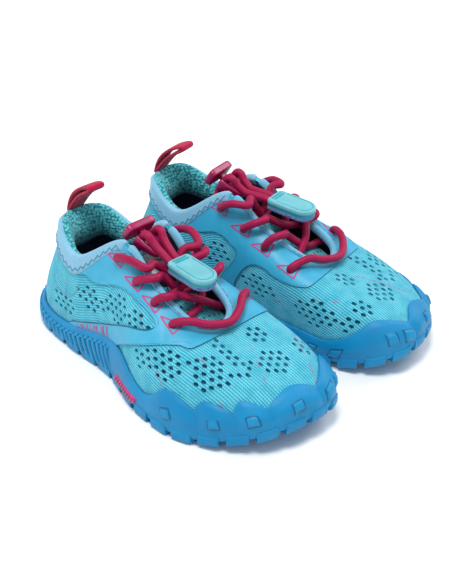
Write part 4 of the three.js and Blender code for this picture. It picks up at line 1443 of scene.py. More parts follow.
# Corners of the film's outline seen from the side: distance from the heel, and height.
OVERLAY_LATERAL = (
    (46, 44), (47, 50), (62, 85), (127.5, 85), (127.5, 37.9), (120, 37.6), (111, 36), (96.5, 30.5),
    (85, 24), (77, 18), (60, 8), (34, 8), (41.5, 15.2), (55.4, 20.8), (74.4, 28.4), (90.9, 36.1),
    (104.5, 39.6), (106, 41), (104.5, 42.4), (99, 44.6), (91.6, 46.6), (81.9, 48.3), (72.8, 47.2),
    (62.4, 43.6), (55.9, 42.7), (51, 44),
)
OVERLAY_MEDIAL = (
    (46, 45), (47, 50), (62, 85), (127.5, 85), (127.5, 38), (120, 35.5), (106, 35.8), (99, 37.8),
    (92, 37.5), (87, 34), (83, 28), (80.5, 22), (80.5, 8), (68, 8), (72.3, 24.4), (76, 29.6),
    (80.5, 36.8), (80.7, 41.3), (77, 43), (71.8, 45.7), (65, 46.3), (56.4, 44), (50, 45),
)
# Eyelets of each side from the top down: station, and height on the skin.
EYELETS = {
    "lateral": ((3.03, 0.87), (3.74, 0.85), (4.5, 0.87), (5.26, 0.85)),
    "medial": ((11.06, 0.87), (10.41, 0.8), (9.73, 0.79), (9.02, 0.73)),
}


def inside_outline(outline: Array, x: Array, z: Array) -> Array:
    """Whether side-view points lie inside an outline.

    Args:
        outline: its corners, one (x, z) per row.
        x: distances from the heel.
        z: heights.

    Returns:
        True for each point inside.
    """
    inside = np.zeros(x.shape, bool)
    for (x0, z0), (x1, z1) in zip(outline, np.roll(outline, -1, 0)):
        crosses = (z0 > z) != (z1 > z)
        inside ^= crosses & (x < (x1 - x0) * (z - z0) / (z1 - z0 + 1e-12) + x0)
    return inside


@dataclass
class KnitUpper:
    """The knitted sock of the upper, with its groups of holes and the film overlay."""

    bench: Bench
    thickness: float = 1.6
    hole_mm: tuple[float, float] = (1.45, 1.0)
    hole_pitch: tuple[float, float] = (4.6, 3.1)
    film: tuple[float, float] = (0.2, 0.85)
    mark_count: int = 13
    mark_start: float = 40.5
    mark_pitch: float = 2.75
    # Groups of holes: station, height on the skin, holes along, rows, and 1 for a lozenge.
    groups: Rows = (
        (1.78, 0.36, 4, 3, 0), (2.5, 0.52, 5, 4, 1), (3.25, 0.52, 5, 5, 1), (3.95, 0.56, 6, 5, 1),
        (4.25, 0.4, 3, 4, 1), (4.95, 0.5, 5, 5, 1), (6.35, 0.79, 6, 2, 0), (5.75, 0.56, 5, 6, 1),
        (6.35, 0.65, 5, 5, 1), (7.0, 0.57, 4, 5, 1), (7.45, 0.8, 3, 3, 1), (8.0, 0.48, 3, 3, 1),
        (8.6, 0.3, 3, 3, 1), (9.1, 0.36, 6, 5, 1), (10.3, 0.34, 5, 4, 1), (11.15, 0.48, 4, 4, 1),
        (12.1, 0.45, 4, 4, 1),
    )

    def rib_numbers(self, us: Array, vs: Array, skin: Array) -> tuple[Array, Array]:
        """Distances along and across the knitted ribs, which run the length of the shoe.

        Args:
            us: stations.
            vs: heights on the skin, rising.
            skin: (stations, heights, 3) points.

        Returns:
            Distance along the ribs and across them, each (stations, heights).
        """
        slices = np.arange(30.0, 175.0, 1.5)
        across = np.zeros(skin.shape[:2])
        for lateral in (True, False):
            half = us <= 7 if lateral else us >= 7
            rows = skin[half] if lateral else skin[half][::-1]
            grown = np.maximum.accumulate(rows[..., 0], axis=0)
            depth = np.zeros((len(slices), len(vs)))
            last_point, total, first = None, np.zeros(len(slices)), np.ones(len(slices), bool)
            front_y = rows[-1, :, 1]
            for j in range(len(vs) - 1, -1, -1):
                point = np.stack([np.interp(slices, grown[:, j], rows[:, j, k]) for k in (1, 2)], axis=1)
                valid = slices <= grown[-1, j]
                begin = valid & first
                total = np.where(begin, np.abs(point[:, 0] - front_y[j]), total)
                if last_point is not None:
                    step = np.linalg.norm(point - last_point, axis=1)
                    total = np.where(valid & ~first, total + step, total)
                first &= ~valid
                last_point = point
                depth[:, j] = np.interp(slices, slices[valid], total[valid])
            x = np.clip(skin[half][..., 0], 30, 174)
            level = np.abs(skin[half][..., 1] - front_y)
            share = smoothstep(level, 9, 18)
            for j in range(len(vs)):
                sliced = np.interp(x[:, j], slices, depth[:, j])
                numbers = level[:, j] + (sliced - level[:, j]) * share[:, j]
                across[half, j] = numbers * (-1 if lateral else 1)
        outline = LAST.blend(us)[:, :2]
        arc = walked(outline)
        front = np.interp(7.0, us, arc)
        at_lateral = np.interp(2.0, us, arc)
        behind = np.where(arc < front, arc - at_lateral, (arc[-1] - at_lateral) - arc) + 30
        run = np.where(skin[..., 0] > 36, skin[..., 0], np.minimum(behind[:, None], skin[..., 0]))
        return run, across

    def hole_places(self) -> tuple[Array, Array]:
        """Middles and directions of the knitted-in holes.

        Returns:
            The middles, and the directions.
        """
        outlines = {
            True: smooth_path(np.array(OVERLAY_LATERAL, float), 2, closed=True),
            False: smooth_path(np.array(OVERLAY_MEDIAL, float), 2, closed=True),
        }
        points, normals = [], []
        for u, v, columns, rows, lozenge in self.groups:
            steps = []
            for j in range(rows):
                for i in range(columns):
                    a = (i - (columns - 1) / 2 + (0.25 if j % 2 else -0.25)) * self.hole_pitch[0]
                    b = (j - (rows - 1) / 2) * self.hole_pitch[1]
                    reach = abs(a) / (columns * self.hole_pitch[0] / 2 + 0.6)
                    reach += abs(b) / (rows * self.hole_pitch[1] / 2 + 0.6)
                    if not lozenge or reach < 1.12:
                        steps.append((a, b))
            uu, vv = LAST.walk(u, v, np.array(steps))
            keep = (vv > LAST.rim_v(uu) + 0.045) & (vv < 0.9)
            at = LAST.skin(uu, vv)
            covered = inside_outline(outlines[u < 7], at[:, 0], at[:, 2])
            near = np.zeros(len(at), bool)
            for k in range(len(at)):
                for other in points:
                    if np.linalg.norm(other - at[k]) < 3.5:
                        near[k] = True
            good = keep & ~covered & ~near
            points.extend(at[good])
            normals.extend(LAST.normal(uu, vv)[good])
        return np.array(points), np.array(normals)

    def knit(self) -> Shell:
        """The knitted shell with its holes and eyelets cut.

        Returns:
            The shell, with distances along and across its ribs as values.
        """
        us = np.linspace(0, 14, 500, endpoint=False)
        vs = np.linspace(0.02, 1, 58)
        inner = np.linspace(1, 0.02, 9)
        uu, vv = np.meshgrid(us, vs, indexing="ij")
        outside = LAST.skin(uu, vv)
        run, across = self.rib_numbers(us, vs, outside)
        ui, vi = np.meshgrid(us, inner, indexing="ij")
        inside = LAST.off(ui, vi, -self.thickness)
        fill = [np.stack([np.interp(inner, vs, row[k]) for k in range(len(us))]) for row in (run, across)]
        shell = grid_shell(
            np.concatenate([outside, inside], axis=1),
            ring=True,
            values={
                "run_mm": np.concatenate([run, fill[0]], axis=1),
                "across_mm": np.concatenate([across, fill[1]], axis=1),
            },
        )
        points, normals = self.hole_places()
        LOG.info("%d holes in the knit", len(points))
        holes = rod_between(points, normals, self.hole_mm, (1.0, 3.0))
        return self.bench.cut(shell, holes.joined(self.eyelet_plugs(2.3)))

    def eyelet_plugs(self, radius: float) -> Shell:
        """Cutters for the eyelets.

        Args:
            radius: radius of the plugs.

        Returns:
            All plugs as one shell.
        """
        places = np.array([p for row in EYELETS.values() for p in row])
        points, normals = LAST.skin(places[:, 0], places[:, 1]), LAST.normal(places[:, 0], places[:, 1])
        return rod_between(points, normals, (radius, radius), (4.0, 4.0), sides=20)

    def overlay(self) -> Shell:
        """The fused film: eyelet stays, the band round the throat and the arms down to the sole.

        Returns:
            Both sides of the film as one shell.
        """
        us = np.linspace(0, 14, 360, endpoint=False)
        share = np.linspace(0, 1, 34)
        low = np.maximum(LAST.rim_v(us) - 0.03, 0.0)
        uu = np.repeat(us[:, None], len(share), 1)
        vv = low[:, None] + (0.985 - low[:, None]) * share
        outer = LAST.off(uu, vv, self.film[1])
        inner = LAST.off(uu, vv, self.film[0])
        shell = grid_shell(np.concatenate([outer, inner[:, ::-1]], axis=1), ring=True)
        prisms = []
        for outline, start, end in ((OVERLAY_LATERAL, -62, 0.3), (OVERLAY_MEDIAL, -0.3, 62)):
            smooth = smooth_path(np.array(outline, float), 1.5, closed=True)
            loop = np.stack([smooth[:, 0], np.zeros(len(smooth)), smooth[:, 1]], axis=1)
            prisms.append(grid_shell(np.stack([loop + [0, start, 0], loop + [0, end, 0]])))
        arms = self.bench.cut(shell, prisms[0], "INTERSECT")
        others = self.bench.cut(shell, prisms[1], "INTERSECT")
        plugs = self.eyelet_plugs(2.1)
        return self.bench.cut(arms, plugs).joined(self.bench.cut(others, plugs))

    def outline(self) -> Shell:
        """A dark fine line along the film's outline, where it meets the knit.

        Returns:
            All lines as one shell.
        """
        lines = []
        for outline, lateral in ((OVERLAY_LATERAL, True), (OVERLAY_MEDIAL, False)):
            smooth = smooth_path(np.array(outline, float), 0.9, closed=True)
            smooth = smooth[smooth[:, 1] < 62]
            u, v = LAST.from_side(smooth[:, 0], smooth[:, 1], lateral)
            at = LAST.skin(u, v)
            miss = np.hypot(at[:, 0] - smooth[:, 0], at[:, 2] - smooth[:, 1])
            good = (miss < 0.4) & (v > LAST.rim_v(u) - 0.01) & (v < 0.9)
            points = LAST.off(u, v, 0.55)
            run: list[Array] = []
            for k in range(len(points) + 1):
                broken = k == len(points) or not good[k]
                if not broken and run and np.linalg.norm(points[k] - run[-1]) > 3:
                    broken = True
                if broken:
                    if len(run) > 4:
                        lines.append(sweep(smooth_path(np.array(run), 0.7), 0.34, sides=6))
                    run = []
                if k < len(points) and good[k]:
                    run.append(points[k])
        return join_all(lines)

    def ribbon(self, u: Array, v: Array, off: float, half_width: float, closed: bool = False) -> Shell:
        """A thin printed line that lies on the skin."""
        points = LAST.off(u, v, off)
        return sweep(points, half_width, sides=8, closed=closed, normals=LAST.normal(u, v), flat=0.28)

    def prints(self) -> Shell:
        """Pink printing: a triangle round each eyelet, and broken angular lines on the rear arm.

        Returns:
            All prints as one shell.
        """
        made = []
        for row in EYELETS.values():
            for u, v in row:
                corners = np.array([(-7.6, -0.6), (3.4, 3.5), (3.6, -3.6)], float)
                line = np.vstack([
                    a + (b - a) * t for a, b in zip(corners, np.roll(corners, -1, 0))
                    for t in np.linspace(0, 1, 12, endpoint=False)
                ])
                uu, vv = LAST.walk(u, v, line)
                made.append(self.ribbon(uu, vv, self.film[1] + 0.1, 0.42, closed=True))
        for k in range(self.mark_count):
            x = self.mark_start + self.mark_pitch * k
            low = float(LAST.rim_height(np.interp(x, (34, 74), (1.75, 2.98)))) + 0.7
            high = np.interp(x, (41.5, 55.4, 74.4), (15.2, 20.8, 28.4)) - 0.9
            tall = high - low
            if tall < 1.2:
                continue
            lean = 0.5 if k % 2 else -0.4
            shape = [(-1.3, 0.95), (-1.1 - lean, 0.45), (0.0, 0.0), (1.2, 0.3), (0.5 + lean, 0.7), (0.9, 1.0)]
            if k % 3 == 0:
                shape = shape[:4]
            line = smooth_path(np.array([(x + a, low + tall * b) for a, b in shape]), 0.5)
            uu, vv = LAST.from_side(line[:, 0], line[:, 1], True)
            made.append(self.ribbon(uu, vv, self.film[1] + 0.08, 0.26))
        return join_all(made)

    def seam(self) -> Shell:
        """The curved seam low on the outside of the heel, under the binding.

        Returns:
            The raised line.
        """
        curve = smooth_path(np.array([(-11, 2), (-6, -3), (2, -4), (9, -1), (13, 5)]), 0.8)
        u, v = LAST.walk(1.7, 0.55, curve)
        return self.ribbon(u, v, 0.1, 0.45)

    def make(self) -> None:
        """Builds the upper's pieces."""
        bench = self.bench
        bench.piece("knit_shell", self.knit(), Finish.KNIT, "shoes", ("knit_upper",), "knit", 70)
        bench.piece("film_overlay", self.overlay(), Finish.FILM, "shoes", ("saddle_overlay",), "film", 55)
        bench.piece("film_outline", self.outline(), Finish.OUTLINE, "shoes", (), "film")
        bench.piece("pink_prints", self.prints(), Finish.PRINT, "shoes", (), "film")
        bench.piece("heel_seam", self.seam(), Finish.PALE_THREAD, "shoes", (), "knit")


@dataclass
class EdgeTape:
    """A tape folded over the edge of the opening."""

    outside: float
    inside: float
    thickness: float

    def band(self, us: Array, outer_leg: Array, inner_leg: float) -> Shell:
        """The tape's shell.

        Args:
            us: stations along it.
            outer_leg: how far it reaches down outside at each station.
            inner_leg: how far it reaches down inside.

        Returns:
            The closed band, rounded at its ends.
        """
        edge = LAST.skin(us, 1.0)
        normal = LAST.normal(us, 0.999)
        up = unit(LAST.tangents(us, 0.999)[1])
        along = walked(edge)
        ends = np.minimum(along, along[-1] - along)
        swell = 0.35 + 0.65 * np.sqrt(np.clip(ends / 2.0, 0, 1))
        out, into = self.outside + self.thickness * swell, self.inside + self.thickness * swell
        loop = []
        for f, puff in ((1.0, 0.3), (0.95, 0.8), (0.8, 1.0), (0.6, 1.0), (0.35, 1.0), (0.12, 1.0)):
            v = LAST.below_edge(us, outer_leg * f)
            loop.append(LAST.off(us, v, self.outside + (out - self.outside) * puff))
        middle, half = (out - into) / 2, (out + into) / 2
        for degrees in (15, 45, 75, 105, 135, 165):
            a = math.radians(degrees)
            loop.append(
                edge + normal * (middle + half * math.cos(a))[:, None]
                + up * (0.15 + 1.3 * swell * math.sin(a))[:, None]
            )
        for f, puff in ((0.3, 1.0), (0.7, 1.0), (0.95, 0.8), (1.0, 0.3)):
            v = LAST.below_edge(us, inner_leg * f)
            loop.append(LAST.off(us, v, -(self.inside + (into - self.inside) * puff)))
        for f in (0.95, 0.4):
            v = LAST.below_edge(us, inner_leg * f)
            loop.append(LAST.off(us, v, -self.inside))
        loop.append(edge - normal * self.inside + up * 0.1)
        loop.append(edge + normal * self.outside + up * 0.1)
        for f in (0.4, 0.95):
            loop.append(LAST.off(us, LAST.below_edge(us, outer_leg * f), self.outside))
        points = np.stack(loop, axis=1)
        girth = np.cumsum(np.linalg.norm(np.diff(points[len(us) // 2], axis=0), axis=1))
        values = {
            "along_mm": np.repeat(along[:, None], points.shape[1], 1),
            "around_mm": np.repeat(np.concatenate([[0], girth])[None], len(us), 0),
        }
        return grid_shell(points, values=values)

    def stitch(self, us: Array, depths: Array, radius: float) -> Shell:
        """Thread laid on the tape's outer face at given depths below the edge.

        Args:
            us: stations along it.
            depths: how far below the edge.
            radius: radius of the thread.

        Returns:
            The thread.
        """
        v = LAST.below_edge(us, depths)
        path = LAST.off(us, v, self.outside + self.thickness + radius * 0.35)
        return sweep(path, radius, sides=6)


@dataclass
class Collar:
    """Binding, padding, lining and heel pull loop of the opening."""

    bench: Bench
    leg: float = 9.0
    corner_leg: float = 4.2
    zigzag_mm: float = 1.9
    loop_width: float = 10.0
    loop_strap: float = 1.7
    loop_eye: float = 3.0
    loop_length: float = 27.0
    loop_lean: float = 44.0

    def binding(self) -> tuple[Shell, Shell]:
        """The stretch binding and its zigzag stitching.

        Returns:
            The binding, and the thread.
        """
        tape = EdgeTape(0.15, 1.75, 1.15)
        us = np.linspace(10.93, 17.07, 320)
        from_corner = np.minimum(us - 10.93, 17.07 - us)
        legs = self.corner_leg + (self.leg - self.corner_leg) * smoothstep(from_corner, 0.0, 1.1)
        band = tape.band(us, legs, 3.4)
        edge = LAST.skin(us, 1.0)
        along = walked(edge)
        count = int((along[-1] - 5) / self.zigzag_mm)
        at = np.linspace(2.5, along[-1] - 2.5, count)
        stitch_u = np.interp(at, along, us)
        leg_at = np.interp(at, along, legs)
        depths = leg_at * np.where(np.arange(count) % 2, 0.82, 0.82 - 2.2 / leg_at)
        fine_u = np.interp(np.linspace(0, count - 1, count * 4), np.arange(count), stitch_u)
        fine_d = np.interp(np.linspace(0, count - 1, count * 4), np.arange(count), depths)
        return band, tape.stitch(fine_u, fine_d, 0.24)

    def padding(self) -> Shell:
        """The puffy mesh roll inside the heel, which stands a little over the binding.

        Returns:
            The roll.
        """
        us = np.linspace(11.7, 16.3, 260)
        middle = np.abs(us - 14) / 2.3
        full = np.sqrt(np.clip(1 - middle**2, 0, 1))
        rise = 2.6 * smoothstep(1 - middle, 0.0, 0.6)
        puff = 0.6 + 4.6 * full
        edge = LAST.skin(us, 1.0)
        normal, up = LAST.normal(us, 0.999), unit(LAST.tangents(us, 0.999)[1])
        loop = [edge + normal * a + up * b[:, None] for a, b in (
            (-0.6, rise * 0.35), (-1.3, 0.4 + rise * 0.8), (-2.6, 0.5 + rise), (-3.9, 0.3 + rise * 0.85),
        )]
        for s in np.linspace(0.1, 1, 16):
            bulge = np.sin(np.pi * (0.12 + 0.88 * s)) ** 0.6 if s < 1 else 0.0
            v = LAST.below_edge(us, 1.0 + 16.5 * s * np.maximum(full, 0.35))
            loop.append(LAST.off(us, v, -(2.9 + puff * bulge)))
        for s in (0.8, 0.4, 0.1):
            v = LAST.below_edge(us, 1.0 + 16.5 * s * np.maximum(full, 0.35))
            loop.append(LAST.off(us, v, -2.4))
        points = np.stack(loop, axis=1)
        wave = 0.22 * np.sin(np.arange(points.shape[0])[:, None] * 1.35) * np.sin(
            np.arange(points.shape[1])[None] * 2.2)
        centre = points.mean(1, keepdims=True)
        points = points + unit(points - centre) * wave[..., None] * full[:, None, None]
        return grid_shell(points)

    def sock(self, outside: float, inside: float, top: float) -> Shell:
        """A thin layer that lines the whole shoe, between two depths under the skin.

        Args:
            outside: depth of its outer face.
            inside: depth of its inner face.
            top: height on the skin where it ends.

        Returns:
            The layer.
        """
        us, vs = np.linspace(0, 14, 200, endpoint=False), np.linspace(0.03, top, 24)
        uu, vv = np.meshgrid(us, vs, indexing="ij")
        outer = LAST.off(uu, vv, -outside)
        inner = LAST.off(uu, vv, -inside)
        return grid_shell(np.concatenate([outer, inner[:, ::-1]], axis=1), ring=True)

    def pull_loop(self) -> Shell:
        """The folded webbing loop at the heel, which leans forward.

        Returns:
            The loop.
        """
        base = LAST.skin(0.0, 1.0) + np.array([1, 0, 1.8 + self.loop_strap / 2])
        lean = math.radians(self.loop_lean)
        half = self.loop_eye / 2
        reach = self.loop_length - self.loop_strap
        path = []
        for t in np.linspace(0, 1, 96, endpoint=False):
            angle = 2 * math.pi * t - math.pi / 2
            s, w = (1 + math.sin(angle)) / 2, math.cos(angle)
            blunt = 1.6 - 1.1 * float(smoothstep(np.array(s), 0.1, 0.7))
            swell = half * math.copysign(abs(w) ** blunt, w)
            length = self.loop_strap / 2 + reach * s
            turn = lean + math.radians(26) * (1 - length / self.loop_length * 1.9)
            bow = 2.2 * math.sin(math.pi * length / self.loop_length)
            path.append(base + np.array([
                math.cos(lean) * length - bow - math.sin(turn) * swell, 0,
                math.sin(lean) * length + bow + math.cos(turn) * swell,
            ]))
        path = np.array(path)
        tangent = unit(np.roll(path, -1, 0) - np.roll(path, 1, 0))
        normals = np.stack([-tangent[:, 2], np.zeros(len(path)), tangent[:, 0]], axis=1)
        return self.strap(path, normals)

    def strap(self, path: Array, normals: Array) -> Shell:
        """A flat woven strap along a closed path, with rounded selvedges.

        Args:
            path: its middle line.
            normals: the direction of its thin side.

        Returns:
            The strap.
        """
        wide, thin = self.loop_width / 2, self.loop_strap / 2
        ring = [(-1, -0.4), (-0.9, -0.9), (-0.5, -1), (0, -1), (0.5, -1), (0.9, -0.9), (1, -0.4),
                (1, 0.4), (0.9, 0.9), (0.5, 1), (0, 1), (-0.5, 1), (-0.9, 0.9), (-1, 0.4)]
        across = np.array([0.0, 1.0, 0.0])
        points = np.stack([
            path + across * (wide * a) + normals * (thin * b) for a, b in ring
        ], axis=1)
        along = walked(path)
        values = {
            "along_mm": np.repeat(along[:, None], len(ring), 1),
            "around_mm": np.repeat(np.array([wide * a for a, _ in ring])[None], len(path), 0),
        }
        return grid_shell(points, ring=True, values=values)

    def make(self) -> None:
        """Builds the collar's pieces."""
        bench = self.bench
        band, zigzag = self.binding()
        bench.piece("binding_tape", band, Finish.BINDING, "shoes", ("collar_binding",), "binding", 60)
        bench.piece("binding_zigzag", zigzag, Finish.THREAD, "shoes", (), "binding")
        roll = self.padding()
        pad = bench.piece("heel_padding", roll, Finish.PADDING, "shoes", ("collar_lining",), "lining")
        bench.piece("inner_sock", self.sock(2.05, 2.5, 0.93), Finish.SOCK, "shoes", (), "lining", 60)
        bench.piece("knit_backing", self.sock(1.68, 1.95, 0.9), Finish.BACKING, "shoes", (), "knit", 60)
        bench.piece("heel_pull_loop", self.pull_loop(), Finish.WEBBING, "loop", ("pull_loop",), "webbing", 50)


@dataclass
class ThroatTape:
    """The knitted tape round the flaps' inner edges."""

    bench: Bench
    leg: float = 2.4
    stitch_mm: float = 3.4

    def make(self) -> None:
        """Builds the tape and the thread that holds it."""
        bench = self.bench
        tape = EdgeTape(0.9, 1.75, 0.75)
        us = np.linspace(3.2, 10.8, 360)
        legs = np.full(us.shape, self.leg)
        band = tape.band(us, legs, 2.2)
        bench.piece("throat_edge_tape", band, Finish.TAPE, "shoes", ("throat_tape",), "tape", 60)
        edge = LAST.skin(us, 1.0)
        along = walked(edge)
        dashes = []
        for start in np.arange(3.0, along[-1] - 5, self.stitch_mm):
            u = np.interp(np.linspace(start, start + self.stitch_mm * 0.72, 6), along, us)
            dashes.append(tape.stitch(u, np.full(6, 1.7), 0.22))
        bench.piece("throat_stitches", join_all(dashes), Finish.THREAD, "shoes", (), "tape")


@dataclass
class Tongue:
    """The knitted tongue under the lacing, with its woven label."""

    bench: Bench
    crown: Rows = (
        (62, 54), (67, 53.6), (72, 52), (84, 47.2), (94, 42.6), (107, 38.4), (118, 34.2),
    )
    front_x: float = 126.0
    half_width: float = 15.0
    drop: float = 8.0
    front_lift: float = 3.0
    thickness: float = 2.2

    def __post_init__(self) -> None:
        """Works out the middle line."""
        vs = np.linspace(0.5, 1, 400)
        front = LAST.skin(np.full(400, 7.0), vs)
        v = np.interp(-self.front_x, -front[:, 0], vs)
        low = LAST.off(np.array([7.0]), np.array([v]), np.array([-1.9]))[0]
        points = np.array([*self.crown, (self.front_x, low[2])], float)
        self.line = smooth_path(points, 0.5)

    def crown_at(self, x: Array) -> Array:
        """Height of the tongue's upper side along its middle."""
        return np.interp(x, self.line[:, 0], self.line[:, 1])

    def at(self, x: Array, side: Array, height: Array) -> Array:
        """A point over the tongue: side runs from -1 to 1 across it.

        Args:
            x: distances from the heel.
            side: shares of the half width.
            height: heights over it.

        Returns:
            The points in mm.
        """
        x, side, height = np.broadcast_arrays(x, side, height)
        drop = self.drop - self.front_lift * smoothstep(x, 92, 108)
        z = self.crown_at(x) - drop * np.abs(side) ** 2.2 + height
        return np.stack([x, side * self.half_width, z], axis=-1)

    def sheet(self, x_from: float, x_to: float, reach: float, low: float, high: float, edge: float) -> Shell:
        """A sheet over part of the tongue, with rounded edges.

        Args:
            x_from: its rear end.
            x_to: its front end.
            reach: share of the half width that it covers.
            low: height of its underside.
            high: height of its upper side.
            edge: share of its reach that rounds off.

        Returns:
            The sheet.
        """
        xs = np.linspace(x_from, x_to, 120)
        middle, half = (low + high) / 2, (high - low) / 2
        sides = np.linspace(-reach, reach, 41)
        over, under = [], []
        for s in sides:
            thin = min(1.0, math.sqrt(max(0.0, 1 - max(0.0, abs(s) / reach - (1 - edge)) ** 2 / edge**2)))
            over.append((s, middle + half * thin))
            under.append((s, middle - half * thin))
        loop = over + under[::-1]
        ends = np.clip(np.minimum(xs - x_from, x_to - xs) / 1.6, 0.02, 1) ** 0.5
        points = np.stack([self.at(xs, s, middle + (h - middle) * ends) for s, h in loop], axis=1)
        across = np.array([s * self.half_width for s, _ in loop])
        run = np.repeat(xs[:, None], len(loop), 1)
        values = {"run_mm": run, "across_mm": np.repeat(across[None], len(xs), 0)}
        return grid_shell(points, values=values)

    def make(self) -> None:
        """Builds the tongue and its label."""
        bench = self.bench
        body = self.sheet(62, self.front_x, 1.0, -self.thickness, 0.0, 0.08)
        xs, sides = [], []
        for k, x in enumerate(np.arange(82, 122, 3.6)):
            for s in np.arange(-9.6, 9.7, 3.2) + (1.6 if k % 2 else 0):
                xs.append(x)
                sides.append(s / self.half_width)
        spots = self.at(np.array(xs), np.array(sides), np.zeros(len(xs)))
        plugs = rod_between(spots, np.repeat([[0.3, 0, 1.0]], len(xs), 0), (0.85, 0.65), (1.5, 3.6))
        body = bench.cut(body, plugs)
        bench.piece("tongue_pad", body, Finish.TONGUE, "shoes", ("tongue",), "tongue_knit", 60)
        label = self.sheet(69, 80, 0.52, 0.3, 1.0, 0.06)
        bench.piece("tongue_tag", label, Finish.LABEL, "shoes", ("tongue_label",), "label")


@dataclass
class Insole:
    """The foam insole that lies on the board inside."""

    bench: Bench
    inset: float = 2.75
    thickness: float = 3.0

    def make(self) -> None:
        """Builds the insole on the level where the frame's own insole starts."""
        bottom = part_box(f"{self.bench.place.side.value}_insole")[0][2] / MM
        us = np.linspace(0, 14, 220, endpoint=False)
        foot, out = LAST.blend(us)[:, :2], LAST.outward(us)[:, :2]
        rows = []
        for step_in, height in ((1.0, 0.0), (0.0, 0.7), (0.0, 2.2), (0.5, 2.8), (1.4, self.thickness)):
            flat = foot - out * (self.inset + step_in)
            level = bottom + height + LAST.lift(flat[:, 0])
            rows.append(np.concatenate([flat, level[:, None]], axis=1))
        shell = grid_shell(np.stack(rows))
        self.bench.piece("foam_insole", shell, Finish.INSOLE, "shoes", ("insole",), "insole_foam", 60)


